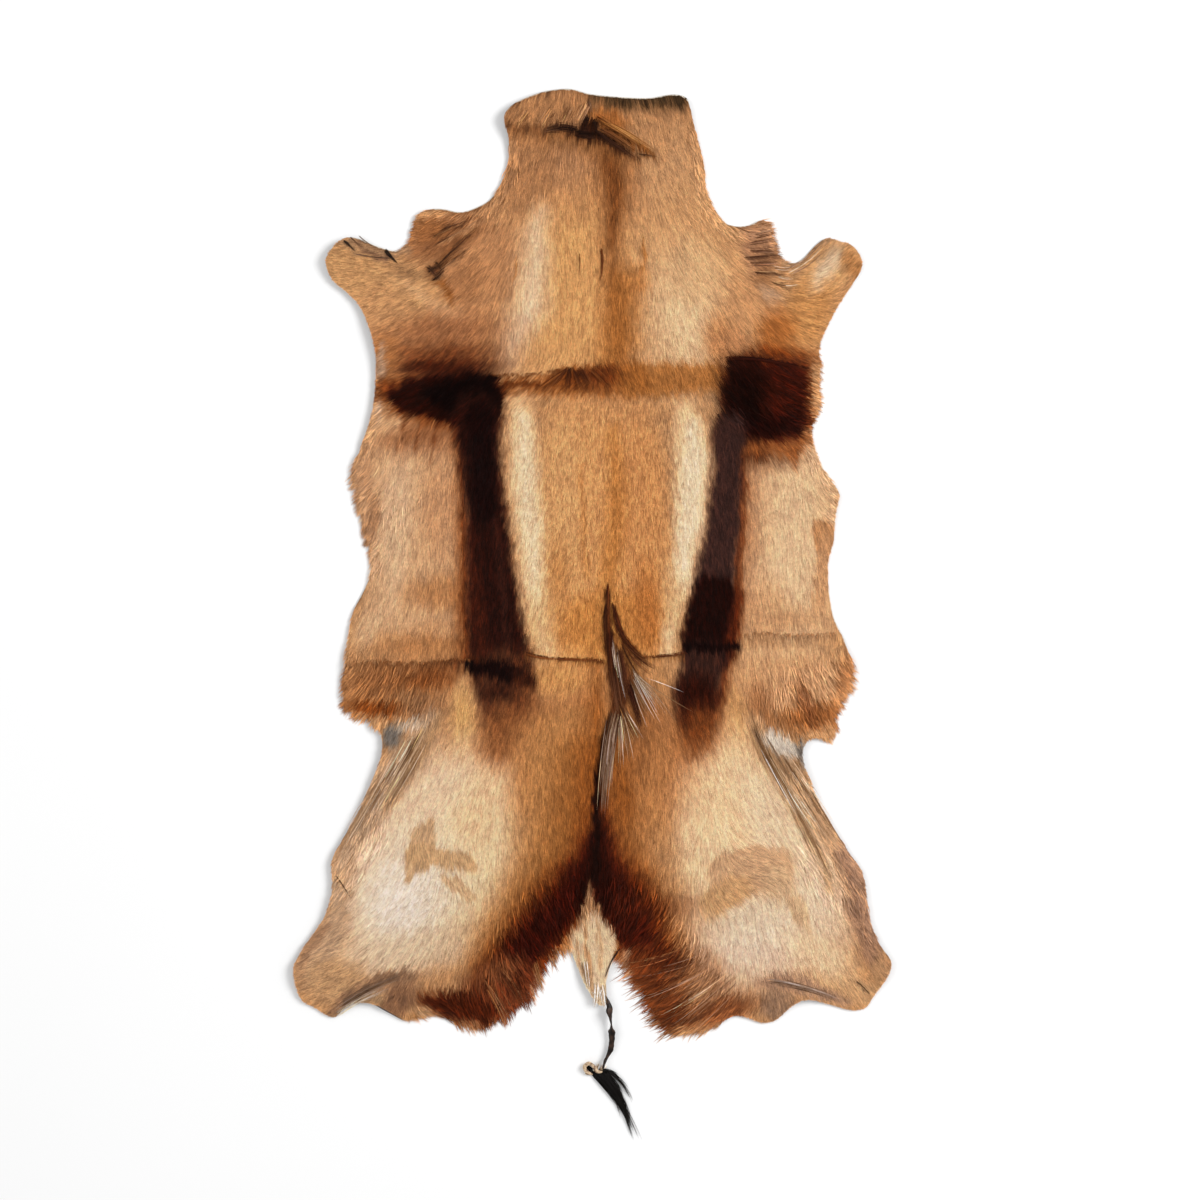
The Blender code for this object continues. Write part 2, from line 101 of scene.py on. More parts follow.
# The skin's cut edge, clockwise from above, and how far hair reaches over it
Stretch = namedtuple("Stretch", "name reach points")
OUTLINE = (
    Stretch("neck_top", 1.5, (
        (-88, 498), (-80, 509), (-63, 518), (-45, 524), (-23, 526), (-3, 521),
        (27, 518), (57, 517), (79, 520), (93, 517))),
    Stretch("neck_right", 1.5, (
        (97, 508), (103, 481), (110, 456), (113, 424), (120, 408), (133, 392))),
    Stretch("chest_right", 8, (
        (152, 389), (172, 395), (177, 381), (182, 364))),
    Stretch("foreleg_right", 1.5, (
        (192, 353), (207, 354), (222, 369), (234, 377), (247, 373), (259, 369),
        (269, 353), (263, 336), (249, 316), (236, 292), (228, 274))),
    Stretch("shoulder_right", 8, (
        (225, 254), (225, 231), (223, 208))),
    Stretch("flank_right", 1.5, (
        (218, 184), (225, 158), (237, 136), (246, 122), (242, 101), (241, 76),
        (235, 54), (236, 26), (241, -2), (252, -26))),
    Stretch("belly_right", 13, (
        (257, -49), (254, -69), (244, -88), (238, -104), (238, -119))),
    Stretch("groin_right", 1, (
        (222, -121), (212, -126), (209, -144), (217, -166))),
    Stretch("hind_leg_right", 1.5, (
        (233, -204), (255, -236), (269, -256), (273, -284), (277, -309),
        (287, -329), (298, -346), (292, -364), (280, -381))),
    Stretch("hock_right", 1, (
        (273, -392), (257, -394), (232, -387), (213, -383), (199, -390),
        (185, -403), (172, -407), (157, -402), (142, -399))),
    Stretch("rump_right", 24, (
        (125, -407), (107, -412), (88, -414), (72, -402), (66, -386),
        (52, -366), (42, -350), (36, -338))),
    Stretch("tail_root", 1.5, (
        (28, -333), (19, -346), (14, -359), (13, -374), (15, -387), (6, -388),
        (-3, -375), (-10, -362), (-17, -344), (-25, -330))),
    Stretch("rump_left", 20, (
        (-40, -332), (-52, -344), (-60, -362), (-78, -384), (-98, -400),
        (-123, -404), (-148, -399), (-168, -396))),
    Stretch("hock_left", 1, (
        (-185, -405), (-200, -398), (-218, -388), (-236, -386), (-248, -393),
        (-259, -402))),
    Stretch("hind_leg_left", 1.5, (
        (-275, -393), (-290, -384), (-296, -369), (-298, -352), (-291, -336),
        (-276, -315), (-265, -296), (-258, -272), (-260, -246), (-248, -221),
        (-235, -199), (-221, -169))),
    Stretch("groin_left", 1, (
        (-211, -146), (-211, -119))),
    Stretch("belly_left", 12, (
        (-222, -99), (-238, -95), (-246, -80), (-244, -62), (-244, -40))),
    Stretch("flank_left", 3, (
        (-243, -19), (-238, 6), (-227, 28), (-219, 51))),
    Stretch("ribs_left", 12, (
        (-223, 76), (-229, 104), (-234, 131), (-235, 151))),
    Stretch("armpit_left", 1.5, (
        (-229, 173), (-219, 204), (-216, 231), (-216, 261), (-222, 286))),
    Stretch("foreleg_left", 1.5, (
        (-232, 309), (-246, 324), (-260, 336), (-266, 354), (-257, 369),
        (-246, 377), (-233, 376), (-216, 369), (-195, 364), (-183, 372))),
    Stretch("chest_left", 5, (
        (-178, 386), (-172, 401), (-161, 406))),
    Stretch("neck_left", 1.5, (
        (-148, 406), (-131, 403), (-113, 409), (-101, 417), (-91, 433),
        (-84, 451), (-82, 468), (-85, 484))),
)

# How the hair lies around a place: its direction from root to tip, its length
# and how far the row's say reaches.
Lay = namedtuple("Lay", "x y degrees length reach")
LAY = (
    # neck and chest
    (-60, 508, 250, 10, 30), (0, 514, 268, 10, 30), (60, 506, 282, 10, 30),
    (-62, 452, 256, 15, 40), (0, 450, 268, 15, 40), (80, 460, 290, 15, 36),
    (-90, 405, 242, 15, 34), (-30, 400, 268, 14, 40), (50, 400, 280, 14, 40),
    (108, 400, 308, 15, 30), (-120, 360, 232, 14, 30), (0, 340, 270, 12, 50),
    (110, 340, 296, 13, 34), (-50, 290, 264, 11, 40), (60, 290, 273, 10, 40),
    (122, 285, 302, 13, 30), (-163, 396, 195, 14, 20), (-138, 378, 212, 15, 22),
    (166, 380, 358, 15, 20), (150, 355, 330, 13, 24), (188, 345, 350, 9, 18),
    # forelegs
    (-242, 355, 176, 7, 24), (-212, 335, 188, 8, 26), (-202, 298, 214, 9, 26),
    (-168, 332, 202, 11, 24), (252, 358, 44, 7, 22), (228, 332, 34, 8, 24),
    (224, 294, 352, 9, 22), (192, 318, 338, 10, 22),
    # shoulders and their dark bands
    (-150, 288, 226, 14, 32), (-192, 258, 206, 13, 26), (-122, 252, 218, 14, 28),
    (-182, 216, 206, 15, 24), (-132, 216, 230, 15, 26), (162, 288, 308, 14, 30),
    (202, 262, 326, 14, 26), (158, 214, 312, 17, 26), (200, 216, 334, 17, 24),
    (214, 192, 345, 15, 18), (190, 166, 318, 15, 20),
    # fold across the shoulders
    (-60, 234, 214, 9, 20), (-16, 238, 212, 9, 16), (24, 240, 305, 9, 18),
    (90, 238, 292, 9, 22),
    # back and stripes
    (0, 190, 268, 6, 40), (-52, 150, 262, 6, 40), (62, 150, 276, 6, 40),
    (0, 100, 264, 6, 46), (-52, 60, 258, 6, 40), (52, 60, 278, 6, 40),
    (0, 10, 264, 6, 40), (80, 0, 276, 6, 36), (-60, 0, 260, 6, 36),
    (-110, 150, 265, 12, 30), (-105, 50, 266, 12, 34), (-95, -40, 266, 12, 30),
    (132, 150, 275, 11, 30), (125, 50, 274, 11, 34), (114, -40, 275, 12, 30),
    # flanks and bellies
    (-172, 165, 252, 14, 30), (-190, 100, 261, 15, 36), (-160, 55, 262, 13, 34),
    (-200, 25, 260, 13, 30), (-229, 125, 208, 17, 20), (-226, 70, 212, 15, 20),
    (-236, 0, 236, 12, 20), (182, 132, 277, 13, 34), (195, 60, 273, 13, 36),
    (200, 8, 275, 12, 34), (240, 118, 322, 14, 20), (234, 58, 298, 9, 18),
    (-190, -20, 258, 13, 30), (-195, -70, 248, 20, 26), (-236, -78, 226, 24, 22),
    (-150, -68, 256, 15, 22), (190, -18, 275, 12, 30), (205, -72, 286, 20, 28),
    (243, -76, 318, 22, 22), (226, -108, 300, 22, 18), (160, -80, 277, 15, 22),
    # notches, where the skin is nearly bare
    (-198, -118, 250, 6, 12), (196, -134, 300, 6, 12),
    # rump and thighs
    (-62, -100, 260, 12, 40), (64, -100, 282, 12, 36), (-30, -150, 270, 11, 34),
    (44, -150, 268, 11, 34), (-60, -205, 272, 12, 36), (60, -205, 264, 12, 34),
    (-130, -150, 252, 12, 34), (-170, -190, 248, 12, 30), (-118, -250, 262, 12, 30),
    (-186, -270, 238, 11, 34), (-206, -160, 240, 24, 20), (-236, -210, 242, 26, 22),
    (-250, -250, 238, 18, 22), (-200, -325, 228, 11, 34), (-148, -322, 252, 12, 34),
    (-256, -325, 214, 11, 28), (-276, -362, 204, 10, 24), (130, -150, 286, 12, 34),
    (178, -190, 300, 12, 30), (206, -160, 300, 24, 20), (238, -215, 306, 26, 22),
    (256, -262, 298, 20, 24), (268, -310, 296, 14, 24), (200, -325, 288, 11, 34),
    (146, -330, 276, 12, 34), (284, -352, 308, 10, 22), (118, -255, 268, 12, 26),
    # patches where the nap lies another way
    (-170, -236, 292, 9, 13), (-132, -244, 300, 9, 11), (-136, -268, 320, 9, 9),
    (152, -250, 345, 9, 20), (134, -280, 330, 9, 14),
    # seat and its fringes
    (-6, -200, 274, 12, 22), (-20, -236, 280, 14, 22), (-34, -284, 288, 17, 26),
    (-62, -330, 294, 23, 24), (-62, -362, 292, 24, 14), (-92, -378, 288, 26, 20),
    (-130, -388, 300, 22, 20), (-164, -388, 330, 14, 16), (14, -236, 262, 14, 22),
    (28, -276, 258, 17, 24), (58, -320, 236, 22, 24), (56, -358, 208, 27, 16),
    (78, -390, 214, 27, 18), (104, -352, 222, 24, 20), (124, -390, 226, 22, 20),
    (156, -388, 240, 14, 16),
    # root of the tail
    (-2, -320, 264, 10, 14), (18, -320, 318, 10, 10), (-2, -350, 268, 12, 16),
    (6, -376, 276, 10, 14),
    # hocks
    (-236, -374, 214, 9, 18), (-204, -386, 240, 9, 16), (186, -386, 284, 9, 16),
    (214, -376, 286, 9, 16), (250, -384, 300, 9, 18),
)

# The notches in front of the thighs, where hair is worn off: the middle and
# how far along x and y it thins
BARE = ((-198, -118, 16, 14), (198, -136, 16, 16))

# Lines across the coat at which the hair above them ends, where the skin was
# folded for storage, with the shade and length of the tufts that hang over
# them; that shade is a dark colour painted as the fold's shadow. Knots run
# towards +X.
Fold = namedtuple("Fold", "name shade hang knots")
FOLDS = (
    Fold("shoulders", "#2a0c04", 4, ((128, 257), (170, 257), (216, 246))),
    Fold("shoulders_left", "#6a3a1a", 5, ((-100, 240), (-60, 241), (-28, 246))),
    Fold("loin_left", "#7a4826", 9, ((-242, -45), (-200, -46), (-170, -47), (-146, -45), (-120, -43))),
    Fold("loin_middle", "#4a200c", 5, ((-66, -38), (-40, -43), (0, -44), (12, -46))),
    Fold("loin_right", "#4a200c", 4, ((48, -42), (70, -40), (95, -38))),
    Fold("flank_right", "#a06e46", 6, ((152, -20), (165, -17), (200, -20), (242, -18))),
)

# Marks of the coat, each laid over the last. A row that ends in knots (x, y,
# half width) is a stripe through them, and each of its sides has a soft rim of
# its own. Any other row is a patch, a rounded box: half length, half width,
# turn, the width of its soft rim, strength and how boxy it is (2 is an oval).
Patch = namedtuple(
    "Patch", "name colour x y length width turned blur strength boxy", defaults=(1, 2)
)
Stripe = namedtuple("Stripe", "name colour blur_left blur_right strength knots")

BASE = "#bb8d64"
COAT = (
    # neck and chest
    ("neck", "#b07e56", 0, 470, 110, 75, 0, 60),
    ("neck_left", "#a87954", -75, 455, 40, 60, 70, 50, 0.9),
    ("neck_right", "#c2956d", 78, 440, 80, 32, 105, 36),
    ("neck_middle_light", "#b58560", -22, 455, 45, 16, 85, 20, 0.8),
    ("chest_middle", "#d8a26a", -15, 320, 95, 60, 90, 60, 0.95),
    ("chest_right_tan", "#cd9d70", 100, 370, 60, 60, 90, 50, 0.9),
    ("chest_left_pink", "#b5835c", -112, 345, 60, 40, 65, 34, 0.95),
    ("chest_left_cream", "#f0d0b4", 34, 36, 0.9, (
        (-50, 405, 4), (-57, 385, 9), (-57, 350, 12), (-62, 310, 16), (-76, 285, 12), (-84, 262, 10))),
    ("chest_right_cream", "#efcaa4", 92, 295, 60, 34, 95, 64, 0.95),
    ("chest_right_light", "#d9b187", 102, 345, 30, 26, 90, 30, 0.7),
    ("chest_right_brown", "#b5794a", 128, 275, 26, 14, 95, 24, 0.8),
    ("nape_streak", "#8f5a32", 26, 26, 0.9, (
        (16, 462, 13), (22, 440, 15), (21, 410, 12), (19, 370, 8), (22, 330, 10), (27, 290, 11),
        (28, 262, 8))),
    ("nape_streak_dark", "#643617", 14, 14, 0.6, ((18, 460, 6), (22, 430, 7), (20, 395, 4), (17, 370, 2))),
    ("nape_streak_low", "#a5662e", 30, 30, 0.7, ((30, 330, 16), (26, 280, 18), (20, 255, 16))),
    ("nape_split_right", "#a0642f", 5, 5, 0.8, ((50, 378, 1), (52, 362, 2.5), (48, 345, 1))),
    ("nape_right_spot", "#b4753f", 46, 335, 16, 9, 90, 14, 0.6),
    ("chest_left_split", "#b67a45", 3, 3, 0.8, ((-76, 358, 0.6), (-74, 345, 1.6), (-80, 335, 0.6))),
    # left shoulder and foreleg
    ("shoulder_left_brown", "#8a5a3a", -148, 378, 40, 18, 25, 18, 0.9),
    ("chest_flap_left", "#96613a", -164, 386, 20, 14, 10, 12, 0.9),
    ("armhole_left", "#a3714c", -130, 330, 30, 20, 50, 24, 0.8),
    ("shoulder_left_lock_a", "#5f3a22", 8, 8, 0.7, (
        (-160, 345, 1.5), (-148, 357, 3), (-134, 370, 3), (-116, 386, 1))),
    ("shoulder_left_lock_b", "#54331e", 3, 3, 0.8, ((-160, 378, 1), (-142, 388, 2), (-114, 398, 1))),
    ("shoulder_left_lock_c", "#b98e68", 3, 3, 0.8, ((-150, 372, 1), (-132, 384, 1.6), (-112, 394, 1))),
    ("shoulder_left_lock_d", "#4c2c18", 3, 3, 0.8, ((-152, 350, 2), (-138, 358, 1.6), (-126, 366, 0.6))),
    ("shoulder_left_lock_e", "#6a432a", 3, 3, 0.7, ((-164, 366, 1), (-150, 374, 1.6), (-138, 384, 1))),
    ("shoulder_left_curl", "#4a2716", -156, 344, 8, 6, 40, 10, 0.8),
    ("shoulder_left_crease", "#7a3f14", 6, 6, 0.9, (
        (-160, 336, 1), (-150, 334, 3), (-144, 328, 4), (-140, 316, 2), (-134, 300, 1.5))),
    ("foreleg_left", "#c29568", -215, 340, 66, 26, -18, 18),
    ("foreleg_left_low", "#b98b62", -200, 300, 36, 22, -55, 20, 0.9),
    ("foreleg_left_pale", "#cda17a", -142, 303, 18, 9, -20, 14, 0.9),
    ("foreleg_left_pale_edge", "#c99f78", -172, 322, 24, 6, -32, 12, 0.8),
    ("foreleg_left_curl", "#9b7a5e", 5, 8, 0.9, (
        (-252, 374, 3), (-230, 368, 7), (-208, 362, 6), (-186, 366, 5))),
    # a crease's darker line in the foreleg's curl, painted shade
    ("foreleg_left_curl_dark", "#6e5040", 3, 4, 0.8, ((-236, 370, 1), (-222, 360, 2), (-200, 357, 2))),
    ("foreleg_left_hollow", "#957050", -186, 345, 18, 9, -20, 10, 0.8),
    # right shoulder and foreleg
    ("shoulder_right_tan", "#c8956a", 165, 320, 34, 30, 60, 30, 0.8),
    ("chest_flap_right", "#a87c5f", 164, 368, 26, 18, 95, 14, 0.9),
    ("chest_flap_right_dark", "#7d5840", 174, 358, 14, 8, 10, 12, 0.85),
    ("chest_flap_right_low", "#8f6444", 168, 338, 12, 9, 80, 12, 0.8),
    ("armpit_right_pale", "#a88d79", 176, 322, 12, 6, 150, 10, 0.75),
    ("foreleg_right", "#c7996c", 232, 345, 44, 22, 35, 16),
    ("foreleg_right_low", "#c08a54", 215, 305, 40, 22, 70, 20, 0.9),
    ("foreleg_right_pale", "#dcc2a8", 234, 348, 24, 9, 55, 12, 0.9),
    ("foreleg_right_tip", "#b07c4e", 259, 350, 18, 8, 115, 9, 0.85),
    ("foreleg_right_curl", "#a38367", 5, 5, 0.85, (
        (190, 350, 3), (208, 356, 4), (222, 370, 4), (238, 376, 2))),
    ("shoulder_right_rust", "#a15f2c", 182, 282, 24, 18, 80, 20, 0.85),
    # the fold across the shoulders
    ("above_band_left", "#9a6543", -148, 284, 58, 18, 4, 24, 0.9),
    ("above_band_left_mid", "#6e3d22", -148, 262, 56, 11, 2, 16, 0.95, 3),
    ("above_band_left_low", "#3a1709", -148, 249, 52, 8, 1, 12, 0.95, 3),
    ("above_band_left_edge", "#a0693f", -205, 262, 20, 14, 100, 16, 0.8),
    ("above_band_right", "#6e3210", 186, 263, 34, 7, -6, 14, 0.95),
    ("above_band_right_tan", "#b3805a", 138, 274, 20, 12, 0, 14, 0.7),
    # the fold's band: the coat's own brown darkened by painted shade of the fold, darkest along its line
    ("fold_left", "#8a4f26", 12, 12, 0.9, ((-102, 231, 8), (-60, 230, 8), (-25, 233, 13))),
    ("fold_left_dark", "#5f2f12", 6, 8, 0.8, ((-104, 234, 3), (-70, 231, 3), (-40, 232, 4))),
    ("fold_middle", "#7d431b", 10, 14, 0.9, ((-24, 235, 16), (10, 235, 18), (40, 236, 17))),
    ("fold_right", "#a0642f", 12, 16, 0.85, ((38, 236, 17), (80, 237, 16), (124, 239, 14))),
    ("fold_dark", "#542710", 0, 240, 26, 10, 0, 18, 0.8),
    # flanks
    ("flank_left", "#d0a681", -178, 90, 120, 54, 90, 26, 1, 3),
    ("flank_left_pale", "#dcb899", -196, 100, 66, 16, 86, 20, 0.8),
    ("flank_left_pale_low", "#d9b493", -196, 45, 36, 9, 84, 12, 0.8),
    ("flank_left_warm", "#c2906a", -152, 110, 54, 16, 90, 18, 0.7),
    ("flank_left_brown", "#b07a4e", -148, 26, 36, 17, 6, 22, 0.8),
    ("flank_left_brown_low", "#b27a4c", -165, -28, 50, 14, 0, 18, 0.8),
    ("flank_left_patch", "#c79870", -152, -10, 24, 9, 4, 10, 0.9),
    ("flank_left_edge", "#a57a5a", -222, 88, 34, 8, 80, 8, 0.9),
    ("flank_left_edge_up", "#b98d6b", -228, 140, 30, 9, 84, 10, 0.8),
    ("flank_left_edge_low", "#d6b08e", -222, -6, 26, 13, 62, 16, 0.8),
    ("under_band_left", "#9a6440", -172, 184, 34, 9, 12, 14, 0.85),
    ("under_band_left_soft", "#8a5636", -156, 178, 36, 13, 8, 30, 0.75),
    ("under_band_tip_a", "#5c3018", 3, 3, 0.7, ((-184, 197, 2), (-189, 184, 1.4), (-194, 172, 0.5))),
    ("under_band_tip_b", "#6a3a20", 3, 3, 0.7, ((-170, 192, 2), (-174, 176, 1.4), (-177, 162, 0.5))),
    ("under_band_tip_c", "#6a3a20", 3, 3, 0.7, ((-154, 190, 2), (-157, 174, 1.4), (-160, 158, 0.5))),
    ("edge_left_grey", "#b09480", 6, 3, 0.85, (
        (-209, 272, 2), (-209, 245, 4), (-211, 220, 4), (-210, 192, 2))),
    ("edge_left_dark", "#8a7262", 3, 2, 0.7, ((-214, 262, 1), (-213, 240, 1.5), (-214, 215, 1.5))),
    ("stripe_left_rust", "#7d4320", 8, 22, 0.95, (
        (-132, 185, 5), (-131, 120, 5), (-130, 60, 6), (-130, 20, 6), (-129, -10, 7), (-127, -42, 5))),
    ("flank_right", "#deb792", 192, 70, 120, 52, 90, 26, 1, 3),
    ("flank_right_pale", "#e8c5a2", 200, 60, 90, 20, 86, 22, 0.8),
    ("flank_right_low", "#c99a72", 175, 5, 30, 22, 90, 24, 0.7),
    ("flank_right_patch", "#b07f57", 230, 80, 18, 11, 100, 5, 0.9, 3),
    ("flank_right_strip", "#c3946d", 230, 42, 38, 8, 84, 6, 0.9, 3),
    ("flank_right_edge", "#d8b18c", 238, 125, 22, 8, 60, 10, 0.7),
    ("stripe_right_soft", "#956140", 40, 10, 0.95, (
        (154, 165, 8), (154, 110, 8), (152, 60, 7), (148, 20, 5), (146, -10, 3))),
    ("under_band_right", "#43200f", 162, 167, 28, 12, -12, 26),
    ("flank_right_lower", "#c79870", 198, -2, 48, 12, 0, 28, 0.8),
    ("stripe_right_rust", "#6a3216", 12, 8, 0.95, (
        (149, 165, 4), (149, 120, 4), (147, 80, 4), (144, 50, 4), (145, 20, 5), (143, -10, 5),
        (140, -36, 4), (133, -60, 5), (127, -85, 7), (121, -104, 9))),
    # dark lateral bands
    ("band_left_rust", "#6b3412", 12, 10, 0.9, (
        (-203, 226, 14), (-186, 220, 21), (-160, 216, 25), (-130, 215, 27))),
    ("band_left", "#220802", 12, 7, 1, (
        (-192, 220, 11), (-176, 220, 19), (-150, 219, 25), (-122, 219, 27), (-112, 219, 27))),
    ("band_left_black", "#0b0100", 18, 14, 1, (
        (-160, 224, 8), (-138, 221, 17), (-118, 220, 22), (-110, 218, 22))),
    ("band_right_rust", "#8a4e26", 174, 216, 44, 44, 0, 12, 0.95, 6),
    ("band_right", "#3a1206", 172, 218, 42, 41, -3, 16, 1, 6),
    ("band_right_black", "#180602", 148, 216, 22, 40, 0, 26, 1, 3),
    ("band_right_low_black", "#1a0502", 168, 191, 42, 10, 3, 12, 0.85, 3),
    ("band_right_rust_tail", "#95562c", 8, 12, 0.9, (
        (152, 168, 4), (178, 169, 6), (202, 166, 8), (214, 176, 5))),
    ("band_right_rust_drop", "#8a4e28", 5, 6, 0.75, ((199, 164, 6), (201, 154, 3), (202, 146, 0.8))),
    # back
    ("back", "#da9f68", 6, 60, 150, 66, 90, 26, 1, 3),
    ("back_left", "#dda873", -32, 110, 90, 20, 88, 20, 0.8),
    ("back_right", "#d3945d", 48, 110, 90, 24, 92, 24, 0.8),
    ("back_middle", "#b3702f", 22, 22, 0.6, ((20, 185, 4), (24, 140, 8), (24, 100, 10), (16, 30, 9))),
    ("back_faint", "#c08046", 8, 8, 0.6, ((-10, 150, 1.5), (-10, 100, 2.5), (-6, 40, 2))),
    ("back_low", "#c48140", 20, -10, 60, 34, 0, 26, 0.8),
    ("back_low_right", "#b06d36", 56, 8, 40, 14, 95, 20, 0.85),
    ("back_low_left", "#bc824c", -36, 34, 34, 11, 85, 18, 0.75),
    ("below_fold", "#d09663", 10, 205, 60, 10, 0, 14, 0.6),
    ("cream_left", "#f3c69a", 20, 22, 1, (
        (-71, 214, 7), (-70, 190, 13), (-68, 150, 16), (-64, 100, 14), (-60, 50, 12), (-54, 0, 11),
        (-48, -36, 9))),
    ("cream_right", "#f6cca2", 18, 18, 1, (
        (92, 204, 10), (98, 180, 18), (99, 150, 17), (97, 100, 15), (91, 55, 12), (86, 20, 10),
        (79, -15, 8), (74, -34, 6))),
    ("cream_left_light", "#ffe0be", 16, 18, 0.95, (
        (-69, 200, 6), (-67, 150, 11), (-63, 100, 10), (-58, 50, 8), (-54, 5, 5), (-50, -30, 3))),
    ("cream_right_light", "#ffe4c6", 18, 16, 0.95, (
        (100, 190, 6), (101, 150, 12), (98, 100, 11), (91, 60, 8), (87, 20, 5), (80, -20, 3))),
    ("cream_left_warm", "#dfae78", -52, -10, 40, 14, 80, 20, 0.6),
    ("cream_right_warm", "#d9a671", 84, 5, 40, 14, 100, 20, 0.6),
    ("stripe_left", "#260e08", 16, 15, 1, (
        (-114, 200, 24), (-112, 160, 20), (-109, 130, 20), (-105, 90, 21), (-102, 50, 23), (-99, 15, 26),
        (-97, -10, 28), (-94, -35, 31), (-91, -52, 32))),
    ("stripe_left_black", "#120302", 12, 12, 0.85, ((-112, 200, 14), (-110, 150, 12), (-107, 105, 11))),
    ("stripe_left_warm", "#4a1f10", 12, 14, 0.6, (
        (-122, 90, 3), (-118, 40, 6), (-114, 0, 8), (-110, -30, 8))),
    ("stripe_left_sheen", "#3d2018", 8, 8, 0.5, ((-98, 100, 2), (-92, 60, 4), (-88, 10, 4), (-84, -30, 4))),
    # the right stripe: dark hair whose greyish tint is painted sheen
    ("stripe_right", "#3a2522", 12, 15, 1, (
        (136, 190, 15), (134.5, 140, 15), (131.5, 100, 16), (125, 60, 18), (121, 34, 20))),
    ("stripe_right_black", "#1c0703", 10, 13, 1, (
        (121, 20, 22), (118, 0, 25), (115, -20, 26), (114, -34, 26))),
    ("stripe_right_warm", "#55230e", 14, 10, 0.85, (
        (146, 26, 3), (143, 0, 4), (139, -24, 5), (137, -34, 4))),
    # folds over the loin and right flank: each crease's darker marks are painted shade in the crease
    ("loin_fold_left", "#8a5632", 26, 18, 0.75, (
        (-242, -46, 1), (-200, -49, 3), (-170, -52, 5), (-146, -49, 6), (-126, -46, 6))),
    ("loin_fold_left_dark", "#3d1c0c", 8, 10, 0.8, (
        (-168, -48, 1), (-148, -47, 3), (-130, -46, 6), (-116, -46, 8))),
    ("loin_fold_middle", "#8a5426", 5, 7, 0.7, (
        (-66, -39, 2), (-48, -43, 2), (-20, -45, 1.5), (12, -46, 2))),
    ("loin_fold_right", "#8a5426", 5, 6, 0.8, ((48, -42, 1), (70, -41, 2), (92, -40, 2))),
    ("flank_fold_right", "#a87850", 20, 16, 0.6, (
        (152, -24, 4), (165, -24, 6), (200, -27, 4), (242, -24, 2))),
    # bellies
    ("belly_left", "#98633c", -196, -64, 58, 15, 2, 18, 0.95, 3),
    ("belly_left_shade", "#7c4420", -160, -60, 26, 7, 2, 14, 0.8),
    ("belly_left_rust", "#7f4018", -216, -89, 30, 9, -4, 10, 0.95),
    ("belly_left_top", "#8e6242", -168, -90, 22, 12, 0, 12, 0.8),
    ("belly_left_light", "#d2a374", -127, -84, 27, 9, 92, 10, 0.95),
    ("belly_right", "#d5a47a", 200, -65, 54, 30, 0, 22, 0.95, 3),
    ("belly_right_rust", "#93572d", 218, -98, 34, 13, 8, 16, 0.9),
    ("belly_right_streak", "#8a5230", 212, -84, 20, 6, 110, 10, 0.8),
    ("belly_right_edge", "#a96f44", 250, -62, 24, 7, 80, 10, 0.8),
    ("belly_right_inner", "#96613c", 168, -92, 26, 12, 100, 16, 0.7),
    # rump
    ("rump_upper", "#a86c42", 0, -140, 120, 60, 0, 50),
    ("loin_light", "#cf955a", -34, -62, 30, 14, 0, 18, 0.8),
    ("loin_light_right", "#c08a58", 70, -62, 7, 16, 0, 12, 0.6),
    ("rump_upper_left", "#b47c4c", -112, -130, 36, 24, 30, 30, 0.9),
    ("groin_left_tan", "#d3a369", -128, -105, 34, 12, 92, 14, 0.9),
    ("groin_right_tan", "#cf9a62", 140, -112, 34, 13, 88, 18, 0.9),
    ("thigh_left", "#f2d0b4", -165, -225, 105, 62, 62, 46),
    ("thigh_left_inner", "#f6d6b0", -120, -240, 76, 36, 78, 44, 0.95),
    ("thigh_left_gold", "#f2c9a2", -110, -190, 70, 18, 68, 34, 0.8),
    ("thigh_left_white", "#fdeee2", -190, -288, 62, 44, 60, 76, 0.85),
    ("thigh_left_low", "#e0c7ae", -185, -335, 66, 18, 8, 24, 0.8),
    ("thigh_right", "#f8cfa8", 142, -190, 80, 42, 100, 40),
    ("thigh_right_inner", "#ffdcb6", 116, -244, 44, 26, 98, 36, 0.95),
    ("thigh_right_outer", "#f0d2b6", 200, -235, 90, 34, 118, 30, 0.95),
    ("thigh_right_low", "#f6dac8", 165, -322, 72, 44, 8, 70, 0.95),
    ("thigh_right_gold", "#f4cba6", 104, -225, 60, 16, 105, 28, 0.7),
    ("thigh_right_white", "#eed8c0", 165, -300, 40, 22, 0, 36, 0.6),
    ("thigh_right_spur", "#d3b08b", 6, 6, 0.8, ((202, -285, 9), (210, -305, 6), (218, -324, 1))),
    ("stripe_left_end", "#4e2c1c", 24, 18, 1, ((-89, -62, 29), (-86, -84, 26), (-86, -100, 18))),
    ("stripe_left_end_dark", "#2c150d", -94, -74, 16, 8, 0, 14, 0.8),
    ("stripe_left_fade", "#8a5430", 28, 26, 0.9, ((-84, -106, 20), (-92, -128, 20))),
    # the right stripe's lower part: dark hair whose greyish tint is painted sheen
    ("stripe_right_low", "#3a221c", 16, 14, 1, ((113, -44, 20), (108, -60, 21), (103, -74, 21))),
    ("stripe_right_end", "#2c0e05", 18, 24, 1, ((102, -80, 22), (102, -98, 20), (103, -110, 11))),
    ("stripe_right_fade", "#75401f", 26, 28, 0.9, ((110, -106, 18), (104, -120, 20))),
    ("stripe_left_shadow", "#100201", 6, 6, 0.95, (
        (-124, -48, 5), (-100, -53, 9), (-76, -58, 10), (-62, -64, 6))),
    ("stripe_right_shadow", "#0f0201", 4, 4, 0.9, ((94, -30, 4), (116, -31, 6), (144, -30, 5))),
    ("loin_left_shade", "#7a4424", -64, -90, 34, 12, 98, 26, 0.6),
    # brown patches where the nap lies another way
    ("patch_left_a", "#c6a380", 4, 4, 0.95, (
